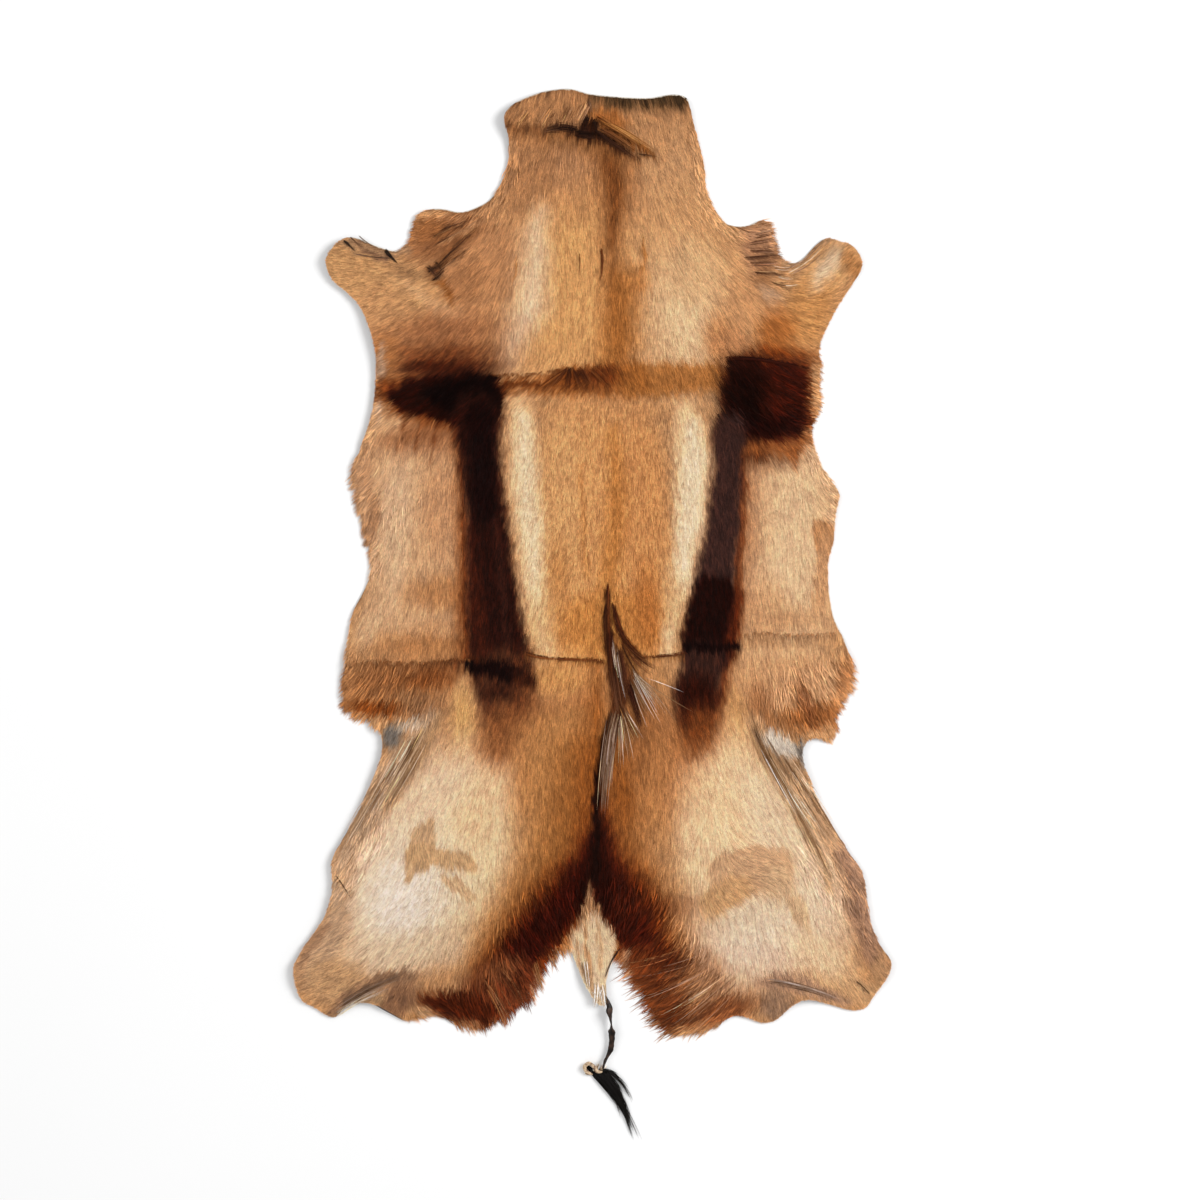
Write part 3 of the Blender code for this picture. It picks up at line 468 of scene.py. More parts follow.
        (-160, -202, 3), (-168, -222, 14), (-176, -244, 12), (-184, -262, 3))),
    ("patch_left_b", "#c8a37c", 4, 4, 0.95, (
        (-175, -236, 12), (-150, -238, 10), (-126, -244, 9), (-120, -250, 5))),
    ("patch_left_c", "#cfab88", 3, 3, 0.9, (
        (-150, -258, 3), (-138, -266, 7), (-124, -278, 6), (-118, -280, 2))),
    ("patch_right_a", "#cba482", 158, -254, 42, 24, 8, 7, 0.95, 3),
    ("patch_right_b", "#c89e74", 132, -279, 28, 15, 28, 8, 0.95, 3),
    ("patch_right_c", "#d2b08e", 185, -268, 18, 16, 120, 10, 0.8),
    # outer thighs and hocks
    ("outer_left", "#c0a084", 10, 14, 0.95, (
        (-160, -100, 9), (-180, -140, 16), (-214, -180, 17), (-240, -222, 12), (-252, -250, 6))),
    ("outer_left_brown", "#a5805c", 8, 14, 0.7, (
        (-152, -100, 5), (-172, -132, 8), (-186, -156, 6), (-202, -185, 4))),
    ("outer_left_rim", "#a5805f", 5, 5, 0.7, ((-212, -160, 2), (-232, -200, 4), (-252, -228, 4))),
    ("outer_right", "#c29b78", 14, 10, 0.95, (
        (160, -105, 9), (180, -138, 13), (212, -178, 12), (240, -222, 12), (262, -255, 12))),
    ("outer_right_brown", "#b08a66", 10, 10, 0.8, (
        (157, -98, 4), (170, -135, 6), (188, -165, 6), (204, -195, 5), (222, -232, 5), (236, -270, 4))),
    ("notch_left_slate", "#7f7873", -200, -120, 16, 9, 75, 7),
    ("notch_left_white", "#cbbdae", -182, -107, 15, 5, 15, 6, 0.9),
    ("notch_right_white", "#d5ccc4", 190, -128, 24, 11, -28, 7),
    ("notch_right_slate", "#77706c", 209, -136, 14, 5, 90, 5, 0.95),
    ("outer_right_low", "#9c7863", 8, 14, 0.9, (
        (248, -232, 8), (262, -262, 11), (266, -295, 12), (276, -328, 11), (288, -352, 8))),
    ("outer_left_low", "#b89a80", 8, 16, 0.9, (
        (-256, -262, 4), (-250, -295, 9), (-262, -322, 14), (-278, -350, 16))),
    ("outer_left_corner", "#94725a", 5, 10, 0.8, (
        (-262, -306, 3), (-280, -326, 6), (-291, -350, 5), (-286, -372, 4))),
    # a crease's darker line on the left thigh, painted shade
    ("thigh_left_crease", "#8b6c50", 3, 3, 0.8, ((-257, -258, 1.5), (-248, -272, 1.6), (-240, -282, 0.6))),
    ("hock_left", "#b8936f", -255, -366, 34, 24, -10, 20, 0.95),
    ("hock_left_grey", "#8a6a54", 7, 9, 0.95, (
        (-262, -398, 3), (-240, -378, 6), (-214, -364, 8), (-190, -359, 7), (-174, -360, 3))),
    ("hock_left_roll", "#a18467", 5, 5, 0.8, ((-258, -402, 2), (-232, -383, 4), (-204, -380, 5))),
    ("hock_left_fold", "#84604a", -192, -382, 20, 14, 40, 12, 0.9),
    ("hock_left_tan", "#bb9572", -176, -398, 14, 6, 20, 8, 0.8),
    ("hock_right", "#cba27a", 248, -372, 40, 16, -12, 16, 0.95),
    ("hock_right_pale", "#f4d2b0", 224, -336, 34, 18, -30, 24, 0.85),
    ("hock_right_grey", "#a98670", 8, 7, 0.95, (
        (166, -366, 4), (185, -363, 8), (212, -368, 8), (236, -378, 6), (256, -388, 2))),
    ("hock_right_fold", "#957763", 184, -388, 17, 16, 60, 12, 0.9),
    # a crease's darker line on the right hock, painted shade
    ("hock_right_line", "#6b5343", 2, 2, 0.9, ((262, -366, 0.6), (270, -372, 1), (278, -380, 0.5))),
    ("hock_right_tip", "#b08a66", 286, -352, 20, 8, 70, 10, 0.7),
    # dark of the rump
    ("rump_tan_left", "#bd8753", 20, 46, 0.9, (
        (-25, -140, 52), (-24, -220, 48), (-40, -270, 40), (-72, -330, 42))),
    ("rump_tan_right", "#bb8250", 44, 20, 0.9, (
        (25, -140, 56), (20, -190, 56), (20, -240, 36), (32, -285, 38), (54, -330, 44))),
    ("rump_brown_left", "#99602f", 20, 44, 0.9, (
        (-10, -150, 30), (-18, -220, 30), (-40, -275, 30), (-72, -330, 34), (-88, -352, 28))),
    ("rump_brown_right", "#955829", 40, 20, 0.9, (
        (14, -150, 28), (12, -220, 32), (26, -280, 42), (48, -330, 38), (62, -352, 30))),
    ("loin_right_shade", "#6a3a1e", 48, -108, 46, 16, 94, 30, 0.42),
    ("seat_left_rust", "#6b3010", 14, 36, 0.95, (
        (2, -195, 6), (-8, -240, 14), (-32, -280, 26), (-62, -325, 30), (-85, -350, 26))),
    ("seat_right_rust", "#632b10", 30, 12, 0.95, (
        (8, -195, 8), (14, -240, 16), (32, -280, 30), (52, -320, 27), (66, -348, 20))),
    ("seat_left", "#360f06", 14, 26, 1, (
        (2, -205, 4), (-6, -240, 9), (-24, -275, 16), (-48, -308, 21), (-74, -334, 18))),
    ("seat_right", "#3c1409", 22, 12, 1, (
        (6, -200, 5), (12, -240, 11), (24, -275, 19), (40, -305, 21), (54, -332, 15))),
    ("seat_right_block", "#4a1d0b", 56, -288, 36, 10, 0, 16, 0.5, 3),
    ("seat_middle", "#260b04", 14, 14, 0.95, ((4, -195, 5), (4, -225, 9), (4, -255, 16), (2, -285, 20))),
    ("crest_shade", "#5a2f19", 36, -60, 26, 8, 118, 16, 0.8),
    ("fringe_left", "#66301a", -88, -372, 44, 32, 20, 20, 0.95),
    ("fringe_left_dark", "#4a1e0c", 12, 12, 1, (
        (-168, -380, 7), (-146, -386, 14), (-125, -390, 16), (-104, -392, 12))),
    ("fringe_left_tan", "#9a5f2c", -156, -407, 24, 4, -12, 8, 0.7),
    ("fringe_left_mid", "#8f5d3a", -96, -352, 24, 10, 30, 14, 0.5),
    ("fringe_right", "#6a351a", 62, -368, 46, 34, -50, 18, 0.95),
    ("fringe_right_mid", "#94623f", 108, -360, 30, 22, -60, 30, 0.7),
    ("fringe_right_low", "#7b4527", 130, -392, 34, 14, 12, 16, 0.9),
    ("fringe_right_dark", "#4d2410", 88, -404, 22, 10, 10, 12, 0.7),
    ("fringe_right_block", "#4a1f0c", 78, -338, 20, 11, -20, 20, 0.85),
    ("fringe_right_rim", "#c39c7e", 4, 12, 0.7, (
        (34, -334, 3), (36, -356, 4), (50, -386, 4), (66, -410, 3))),
    ("fringe_left_rim", "#c09878", 12, 4, 0.7, (
        (-34, -332, 2), (-52, -358, 4), (-58, -380, 5), (-70, -400, 3))),
    # line down the middle
    ("parting_shade", "#8f5020", 20, 44, 0.85, ((6, -50, 3), (2, -100, 8), (-2, -150, 9), (-4, -200, 9))),
    # the parting's near-black line is painted shade where the hair parts
    ("parting", "#1c0904", 4, 5, 0.95, (
        (16, -98, 1), (10, -125, 2), (6, -150, 2.6), (4, -190, 3.2), (4, -225, 4), (2, -258, 5))),
    ("parting_right", "#8a4f22", 30, -178, 30, 9, 95, 14, 0.8),
    ("crest_dark", "#4a2412", 6, 6, 0.8, (
        (15, 30, 0.6), (15, 0, 1.5), (18, -25, 4), (22, -55, 8), (26, -85, 8), (20, -115, 6),
        (13, -150, 4), (10, -185, 3))),
    ("crest_branch", "#4a2210", 5, 5, 0.8, ((20, 10, 0.8), (26, -12, 2.5), (38, -32, 4), (52, -46, 1))),
    ("tail_root_tip", "#a57a58", 5, 5, 1, ((-2, -262, 0.5), (-3, -280, 5), (-2, -300, 12), (-2, -316, 21))),
    ("tail_root", "#e8cbac", 5, 5, 1, (
        (0, -306, 11), (1, -322, 21), (0, -345, 22), (2, -365, 16), (7, -392, 10))),
    ("tail_root_streak_a", "#b98a62", 4, 4, 0.8, (
        (-6, -286, 1.5), (-8, -310, 2), (-4, -345, 2), (0, -372, 1))),
    ("tail_root_streak_b", "#c49a74", 4, 4, 0.7, ((4, -300, 1.5), (8, -325, 2), (8, -350, 1.5))),
    ("tail_root_streak_c", "#c09068", 3, 3, 0.7, ((-16, -318, 1), (-14, -336, 1.5), (-9, -356, 1))),
    # neck fold: its dark line, peak, left part and end are painted shadow under the folded-over top
    ("neck_top_left", "#ac7c55", -42, 507, 42, 15, 4, 10, 0.9),
    ("neck_top_rust", "#a0612f", 16, 498, 20, 10, -20, 12, 0.85),
    ("neck_top_right", "#bb8b62", 62, 494, 34, 18, 90, 16, 0.8),
    ("neck_rim_shade", "#8a6344", 6, 14, 0.7, ((0, 516, 6), (50, 510, 7), (96, 508, 6))),
    ("neck_top_streak", "#5a3a24", 3, 3, 0.7, ((-6, 524, 1.2), (-3, 512, 1.6), (0, 501, 1))),
    ("neck_fold_shade", "#82542f", 20, 26, 0.8, (
        (-84, 487, 3), (-50, 482, 6), (-20, 478, 8), (10, 472, 8), (40, 458, 4))),
    ("neck_fold", "#2a140a", 8, 8, 0.95, (
        (-50, 486, 0.5), (-36, 488, 2.5), (-26, 486, 4), (-14, 483, 5), (-2, 482, 6), (8, 479, 5),
        (20, 472, 3.5), (34, 463, 2), (46, 458, 0.5))),
    ("neck_fold_left", "#5c3a24", 9, 7, 0.9, ((-90, 490, 1), (-66, 487, 3), (-46, 487, 3))),
    ("neck_fold_peak", "#2a140a", -4, 490, 12, 9, 20, 8, 0.9),
    ("neck_fold_end", "#6f4629", 3, 3, 0.8, ((44, 461, 1), (58, 460, 1.4), (68, 457, 0.6))),
    ("neck_tuft", "#8c5529", 4, 3, 0.9, ((8, 492, 2), (24, 483, 5), (42, 472, 5), (62, 462, 2))),
    ("neck_tuft_dark", "#53290f", 2, 2, 0.7, ((16, 484, 1), (32, 474, 1.6), (54, 464, 0.8))),
    ("neck_rim_right", "#40301f", 3, 11, 0.95, (
        (4, 524, 7), (20, 521, 12), (50, 520, 12), (80, 522, 13), (97, 518, 11))),
    ("neck_rim_left", "#54392a", 2, 6, 0.9, (
        (-84, 506, 1), (-64, 520, 2), (-40, 526, 3), (-20, 528, 3), (2, 523, 3))),
)

# Locks listed one by one. Each runs from its root over its bend to its tip, its
# hairs spread as wide as given at the root and fan out as given at the tip,
# and its colour runs from one hex code to the other. Rise is its height over
# the coat.
Lock = namedtuple("Lock", "x0 y0 x1 y1 x2 y2 hairs wide fan rise root tip")
CREST = (
    (16, 32, 15, 8, 17, -30, 33, 3.25, 3.9, 0.8, "#3a1608", "#4a1f0c"),
    (13, 14, 12, -14, 16, -46, 28, 2.6, 3.9, 1.0, "#2c0f06", "#44200e"),
    (17, -10, 17, -40, 22, -74, 39, 5.2, 6.5, 1.2, "#2c0f06", "#5a2e16"),
    (20, 14, 24, -10, 36, -34, 33, 3.25, 6.5, 1.0, "#3a1608", "#3a1608"),
    (24, -8, 34, -30, 50, -42, 31, 5.2, 6.5, 1.2, "#34150a", "#54290f"),
    (30, -22, 42, -40, 60, -47, 19, 3.9, 3.9, 1.3, "#3a1a0c", "#5f3418"),
    (30, -24, 44, -46, 65, -54, 19, 3.9, 2.6, 1.3, "#3a1a0c", "#6a3c1e"),
    (32, -30, 44, -50, 62, -60, 17, 3.9, 3.9, 1.3, "#3a1a0c", "#6a3c1e"),
    (28, -26, 38, -50, 50, -66, 19, 5.2, 5.2, 1.3, "#34170b", "#54300f"),
    (26, -30, 30, -60, 38, -92, 45, 7.8, 9.1, 1.4, "#2e130a", "#4a2412"),
    (20, -46, 24, -70, 28, -100, 45, 7.8, 9.1, 1.4, "#34180c", "#5a3520"),
    (20, -20, 21, -44, 28, -66, 12, 3.0, 4, 1.6, "#7a5a42", "#c2a488"),
    (23, -28, 26, -54, 33, -82, 10, 3.0, 4, 1.8, "#8a6a50", "#cdb198"),
    (26, -84, 36, -108, 46, -128, 28, 6.5, 10.4, 1.6, "#4a2814", "#7a5438"),
    (40, -54, 48, -70, 62, -92, 8, 3.25, 13, 2.0, "#b39a80", "#f4e8d8"),
    (41, -55, 52, -72, 72, -98, 7, 3.25, 15.6, 2.1, "#a88e74", "#f4e8d8"),
    (42, -56, 56, -72, 80, -110, 7, 3.25, 18.2, 2.1, "#a88e74", "#e6d2b8"),
    (40, -57, 54, -70, 66, -80, 7, 3.25, 10.4, 2.1, "#a88e74", "#f4e8d8"),
    (38, -58, 46, -80, 66, -112, 6, 3.25, 15.6, 1.8, "#8a6c50", "#cdb091"),
    (36, -62, 44, -84, 58, -106, 4, 3.25, 10.4, 1.6, "#8a6c50", "#c9a988"),
    (44, -60, 76, -84, 103, -98, 2, 1, 3, 1.6, "#c9ab8a", "#dcc4a8"),
    (52, -62, 76, -70, 96, -79, 2, 1, 3, 1.4, "#b9977a", "#cdb398"),
    (34, -62, 42, -88, 51, -121, 33, 4.55, 3.9, 2.2, "#31130a", "#3d1c0f"),
    (36, -66, 46, -90, 49, -116, 17, 3.25, 3.9, 2.2, "#2a1008", "#3a1a0c"),
    (28, -92, 34, -118, 37, -146, 12, 3.9, 10.4, 2.0, "#8a6b52", "#c5a688"),
    (26, -96, 29, -124, 28, -152, 12, 3.9, 10.4, 2.0, "#80614a", "#b7987c"),
    (32, -94, 42, -112, 50, -128, 8, 2.6, 9.1, 1.8, "#8a6b52", "#bd9c7c"),
    (24, -92, 18, -118, 14, -150, 50, 10.4, 10.4, 2.2, "#5a3a26", "#a98a70"),
    (20, -104, 14, -140, 12, -176, 50, 10.4, 9.1, 2.2, "#6b4d38", "#b0917a"),
    (17, -128, 12, -160, 10, -198, 39, 9.1, 6.5, 2.0, "#6b4d38", "#9c7d66"),
    (19, -94, 9, -128, 5, -186, 28, 2.6, 2.6, 2.0, "#3a1c0e", "#2a1208"),
)
NECK_TUFT = (
    (8, 492, 24, 486, 52, 466, 26, 6, 5, 1.2, "#6a3a1a", "#9a6434"),
    (6, 488, 22, 480, 48, 461, 34, 5, 4, 1.0, "#4a2410", "#7a4720"),
    (12, 493, 38, 482, 68, 459, 16, 6, 4, 1.2, "#7a4620", "#a06a3c"),
    (2, 500, 14, 492, 30, 482, 30, 4, 5, 1.2, "#54290f", "#8a5529"),
    (-4, 512, -8, 504, -14, 492, 26, 9, 9, 1.0, "#8a5a38", "#a06e48"),
    (-20, 508, -25, 498, -30, 488, 18, 10, 10, 1.0, "#7a5030", "#90623e"),
    (-40, 506, -46, 496, -52, 486, 16, 12, 12, 1.0, "#7a5030", "#90623e"),
    (-62, 504, -68, 496, -76, 486, 16, 12, 12, 0.8, "#7a5030", "#90623e"),
    # These rows are near-black hair laid along the neck's fold as its painted shadow
    (0, 485, 17, 474, 42, 457, 60, 7, 3, 0.5, "#1c0d07", "#3a1e10"),
    (-50, 484, -38, 489, -24, 487, 26, 4, 7, 0.5, "#5a3a26", "#24120a"),
    (-38, 486, -26, 490, -12, 484, 34, 7, 8, 0.5, "#2a150c", "#1c0d07"),
    (-20, 482, -8, 479, 8, 479, 30, 6, 6, 0.4, "#140804", "#1c0d07"),
    (-3, 500, -6, 492, -12, 484, 18, 3, 9, 0.6, "#1c0d07", "#1c0d07"),
    (0, 498, 2, 490, 4, 483, 16, 3, 8, 0.6, "#1c0d07", "#1c0d07"),
    (44, 461, 56, 460, 68, 457, 18, 1.2, 0.8, 0.6, "#3a2010", "#6f4629"),
    (-4, 515, -3, 509, -1, 501, 16, 3, 3, 0.6, "#4a3020", "#6a4a34"),
)
FRIZZ = (
    (160, 380, 172, 380, 184, 386, 14, 8, 6, 0.8, "#5f3a26", "#8a644a"),
    (152, 371, 170, 373, 189, 377, 12, 3, 3, 0.9, "#4a2818", "#8a644a"),
    (156, 364, 172, 365, 187, 363, 14, 5, 4, 0.9, "#3a1c10", "#7a543c"),
    (150, 357, 172, 358, 191, 361, 12, 2.5, 3, 0.9, "#3a1c10", "#6a4632"),
    (154, 351, 172, 350, 190, 352, 12, 4, 3.5, 0.9, "#34180c", "#7a543c"),
    (158, 344, 172, 341, 186, 342, 10, 3, 4, 0.8, "#5a3824", "#8a644a"),
    (178, 349, 188, 344, 203, 347, 7, 3, 4.5, 0.9, "#a5866a", "#d6bc9e"),
    (176, 344, 186, 337, 196, 340, 7, 3, 4.5, 0.8, "#5a3a28", "#7a5a44"),
    (182, 341, 190, 334, 206, 339, 7, 3, 3, 0.8, "#b0906f", "#d6bc9e"),
    (177, 335, 190, 329, 200, 332, 7, 3, 4.5, 0.8, "#6a4c38", "#8f6f54"),
    (184, 330, 194, 325, 208, 330, 5, 3, 3, 0.7, "#b0906f", "#cdb294"),
)
# Tufts that hang over the shoulders' fold, near-black at the root as painted shade in the fold
FOLD_TUFTS_IN_SHADE = (
    (-22, 249, -24, 238, -27, 221, 22, 2.5, 5, 0.8, "#220c04", "#5a2c12"),
    (-23, 248, -33, 239, -45, 224, 20, 2.5, 6, 0.8, "#34150a", "#6a3a1a"),
    (-24, 247, -40, 238, -58, 222, 16, 2.5, 6, 0.8, "#4a210d", "#7a451e"),
    (-20, 249, -16, 238, -10, 223, 22, 3, 5, 0.8, "#220c04", "#5a2c12"),
    (-14, 248, -8, 240, 0, 226, 20, 5, 8, 0.7, "#34150a", "#6a3a1a"),
    (-4, 248, 6, 240, 18, 227, 18, 8, 9, 0.6, "#54280f", "#85481e"),
)
# Streaks of paler and darker hair in the rump's fringes
RUMP_STREAKS = (
    (96, -332, 70, -344, 36, -350, 14, 9, 12, 1.2, "#5f3018", "#8a5a3c"),
    (112, -338, 84, -352, 38, -360, 8, 14, 18, 1.4, "#8a5a3c", "#c09a7c"),
    (100, -350, 74, -366, 34, -376, 27, 15, 18, 1.0, "#3a1808", "#5f3018"),
    (124, -346, 92, -366, 44, -384, 12, 12, 18, 1.4, "#7a4a2c", "#cda684"),
    (112, -372, 84, -392, 52, -404, 27, 15, 18, 1.0, "#3a1808", "#5a2c14"),
    (138, -352, 108, -376, 62, -400, 12, 12, 18, 1.4, "#7a4a2c", "#cda684"),
    (146, -360, 120, -384, 84, -414, 12, 12, 18, 1.4, "#7a4a2c", "#cda684"),
    (-96, -348, -78, -366, -66, -392, 21, 12, 15, 1.2, "#6a3a1c", "#9a6a44"),
    (-108, -360, -94, -380, -84, -408, 21, 12, 15, 1.2, "#6a3a1c", "#9a6a44"),
    (-60, -344, -54, -358, -50, -378, 21, 7.5, 4.5, 1.0, "#6a3a1c", "#b07c4c"),
    (-84, -352, -74, -370, -72, -390, 24, 15, 12, 1.0, "#3a1607", "#54260f"),
)
# Long pale and brown strands along the outer edges of the thighs
THIGH_STREAKS = (
    (-163, -104, -180, -140, -204, -182, 36, 10, 12, 0.7, "#7a5638", "#a07a56"),
    (-172, -118, -196, -162, -222, -204, 36, 8, 10, 0.7, "#8a6444", "#b08a64"),
    (-186, -132, -212, -178, -240, -220, 36, 8, 10, 0.7, "#7a5638", "#a07a56"),
    (-200, -150, -226, -196, -250, -236, 30, 8, 8, 0.7, "#8a6444", "#b08a64"),
    (-178, -118, -200, -160, -226, -204, 16, 12, 12, 0.9, "#b08a66", "#d2b290"),
    (-192, -134, -216, -178, -242, -222, 16, 12, 12, 0.9, "#b08a66", "#d2b290"),
    (-168, -122, -186, -156, -212, -196, 16, 12, 12, 0.9, "#c09a76", "#dcc09e"),
    (-206, -158, -228, -196, -250, -232, 14, 10, 10, 0.9, "#b08a66", "#cdae8a"),
    (-170, -112, -190, -150, -214, -192, 24, 1.2, 1.2, 1.1, "#5a3a22", "#7a5436"),
    (-182, -128, -206, -170, -234, -214, 24, 1.2, 1.2, 1.1, "#5a3a22", "#7a5436"),
    (-198, -146, -222, -188, -248, -230, 24, 1.0, 1.0, 1.1, "#5a3a22", "#7a5436"),
    (-176, -140, -192, -170, -210, -204, 20, 1.2, 1.0, 1.1, "#6a482c", "#8a6444"),
    (157, -98, 176, -150, 204, -196, 26, 12, 12, 0.7, "#6a4426", "#94704c"),
    (170, -128, 196, -178, 226, -236, 26, 10, 12, 0.7, "#7a5232", "#a07c58"),
    (196, -180, 220, -226, 242, -278, 36, 8, 8, 0.7, "#7a5232", "#a8835f"),
    (180, -140, 206, -182, 236, -226, 16, 12, 12, 0.9, "#b8906a", "#d6b48e"),
    (192, -140, 214, -172, 238, -208, 16, 12, 12, 0.9, "#b8906a", "#d6b48e"),
    (168, -130, 190, -172, 214, -214, 14, 10, 10, 0.9, "#c8a27c", "#e2c6a4"),
    (206, -160, 224, -192, 248, -228, 14, 10, 10, 0.9, "#a87c54", "#c8a078"),
    (172, -118, 200, -166, 232, -216, 24, 1.2, 1.2, 1.1, "#5a3a20", "#7a5436"),
    (186, -134, 210, -172, 240, -216, 24, 1.2, 1.2, 1.1, "#5a3a20", "#7a5436"),
    (212, -164, 232, -200, 258, -240, 24, 1.0, 1.0, 1.1, "#6a482c", "#7a5436"),
    (160, -112, 178, -148, 196, -186, 24, 1.2, 1.0, 1.1, "#54341c", "#7a5436"),
    (-260, -397, -226, -369, -184, -358, 40, 5, 6, 0.4, "#6e5848", "#5f4a3c"),
    (-258, -402, -232, -381, -200, -372, 16, 7, 10, 0.4, "#8a705c", "#8a705c"),
    (166, -366, 200, -363, 250, -386, 34, 6, 5, 0.4, "#6e5848", "#8a705c"),
)
# Creases and parted hair: thin lines of hair in the shade
CREASES = (
    (-248, 374, -242, 369, -236, 363, 34, 1.6, 0.8, 0.5, "#0c0706", "#1c120e"),
    (-241, 377, -234, 371, -227, 365, 20, 0.8, 0.5, 0.5, "#5a3f2c", "#7a5a40"),
    (-207, 365, -201, 358, -195, 352, 60, 3.4, 0.8, 0.5, "#0c0706", "#18110f"),
    (-237, 361, -218, 357, -200, 357, 30, 0.9, 0.6, 0.4, "#4a3022", "#2a1a12"),
    (-233, 379, -225, 371, -214, 367, 14, 0.7, 0.5, 0.4, "#5a4434", "#7a604a"),
    (8, 368, 12, 352, 7, 332, 30, 2.4, 1.0, 0.4, "#4a200a", "#5a2a10"),
    (-14, 364, -11, 352, -14, 338, 12, 1.0, 0.6, 0.4, "#8a4f24", "#8a4f24"),
    (262, -364, 270, -370, 278, -379, 16, 0.8, 0.4, 0.4, "#4a382c", "#2c1f18"),
    (-257, -258, -250, -268, -240, -284, 22, 1.0, 0.8, 0.4, "#7a5a42", "#8a6a50"),
    (-216, -389, -204, -396, -188, -405, 26, 0.8, 0.8, 0.3, "#1a1310", "#1a1310"),
    (-66, -38, -50, -43, -34, -43, 14, 3.0, 2.4, 0.3, "#4a200c", "#5a2a10"),
    (-40, -43, -16, -45, 8, -44, 14, 3.0, 2.4, 0.3, "#4a200c", "#5a2a10"),
    (58, -41, 76, -40, 92, -38, 14, 3.0, 2.4, 0.3, "#4a200c", "#5a2a10"),
    (-157, 347, -143, 361, -123, 380, 12, 1.4, 1.0, 0.5, "#1c0e08", "#4a2c1a"),
    (-153, 343, -138, 355, -118, 371, 9, 1.2, 0.8, 0.5, "#3a2214", "#7a5234"),
    (-150, 354, -136, 368, -115, 386, 12, 1.4, 1.0, 0.6, "#24130b", "#4a2c1a"),
    (-146, 363, -131, 376, -113, 389, 9, 1.0, 0.8, 0.5, "#4a2c1a", "#8a5e3c"),
    (-163, 376, -147, 385, -129, 391, 10, 1.2, 1.0, 0.5, "#34200f", "#6a4630"),
    (-153, 384, -137, 391, -115, 397, 10, 1.2, 0.8, 0.5, "#2c180d", "#6a4630"),
    (-157, 370, -141, 380, -121, 388, 9, 1.2, 0.8, 0.5, "#4a2c1a", "#8a5e3c"),
    (-165, 341, -158, 349, -147, 351, 14, 3, 4, 0.6, "#140a06", "#4a2c1a"),
    (-162, 334, -153, 339, -147, 348, 14, 3, 4, 0.6, "#1c0e08", "#5f3e28"),
    (-166, 350, -159, 343, -150, 333, 14, 4, 3, 0.6, "#24130b", "#6a4630"),
    (-158, 354, -152, 350, -150, 342, 10, 4, 3, 0.6, "#34200f", "#7a5234"),
    (128, 257, 176, 259, 219, 243, 80, 2.4, 1.6, 0.5, "#1a0602", "#2a0c04"),
    (192, 346, 212, 352, 227, 371, 24, 0.8, 0.8, 0.5, "#8a6448", "#7a5540"),
    (197, 341, 216, 346, 233, 366, 24, 0.8, 0.8, 0.5, "#9a7252", "#8a6448"),
    (195, 343, 214, 349, 230, 369, 20, 1.0, 0.8, 0.5, "#d9b793", "#e6caa8"),
    (30, -331, 18, -342, 13, -361, 44, 1.4, 0.6, 0.4, "#140c09", "#1c120d"),
)
TAIL_HAIRS = (
    (4, -366, 5, -378, 2, -391, 44, 7, 4, 1.0, "#cfae8c", "#eadbc4"),
    (9, -368, 11, -380, 12, -391, 36, 6, 3, 1.0, "#c7a27c", "#e2cdb1"),
    (-1, -375, 8, -380, 3, -389, 16, 1.0, 1.4, 1.2, "#a88564", "#eadbc4"),
    (-8, -344, -6, -360, -3, -374, 34, 8, 4, 0.8, "#d9bd9d", "#eadbc4"),
)
# Locks of the tail's tuft lie on the plane itself, so rise counts from it.
TUFT = (
    (2.2, -457.4, 26.5, -470.0, 40.2, -523.8, 90, 3.4, 1.6, 3.6, "#0b0807", "#14100d"),
    (3.6, -457.2, 27.5, -472.0, 39.4, -513.0, 90, 3.4, 2.0, 3.8, "#0d0a09", "#17110e"),
    (5.6, -456.8, 28.0, -471.0, 37.6, -503.5, 80, 3.0, 2.4, 3.8, "#0b0807", "#14100d"),
    (8.0, -456.2, 27.0, -469.0, 33.5, -492.5, 70, 3.0, 2.4, 3.4, "#0f0b0a", "#1a1310"),
    (1.2, -458.4, 22.0, -474.5, 37.5, -510.0, 70, 3.0, 2.0, 3.0, "#0b0807", "#14100d"),
    (10.0, -456.0, 25.5, -465.5, 29.5, -481.0, 50, 3.0, 3.0, 3.6, "#0d0a09", "#17110e"),
    (3.0, -456.0, 16.0, -450.5, 25.5, -461.0, 70, 3.4, 2.0, 3.4, "#0b0807", "#14100d"),
    (11.0, -454.8, 25.0, -457.0, 34.0, -474.0, 44, 2.4, 3.0, 3.0, "#0b0807", "#17110e"),
    (13.0, -455.4, 27.5, -461.0, 38.6, -483.0, 30, 2.2, 2.4, 3.0, "#0d0a09", "#221813"),
    (1.4, -459.4, 19.0, -477.5, 34.0, -502.0, 40, 2.4, 2.4, 2.4, "#0d0a09", "#17110e"),
    (1.2, -459.8, 15.5, -474.5, 27.0, -490.0, 26, 2.0, 2.4, 2.2, "#0f0b0a", "#1b1410"),
    (22.0, -477.0, 24.5, -488.0, 28.5, -503.0, 6, 2.0, 3.0, 1.4, "#2a201a", "#4a3a2e"),
    (30.0, -488.0, 40.0, -506.0, 47.0, -527.0, 7, 2.0, 5.0, 1.4, "#1c1410", "#3b2a20"),
    (22.0, -462.0, 34.0, -468.0, 41.0, -487.0, 6, 2.0, 5.0, 2.4, "#1c1410", "#3b2a20"),
    (-5.2, -450.6, -2.4, -453.0, 2.0, -457.6, 60, 3.6, 3.4, 1.2, "#0b0807", "#0b0807"),
)
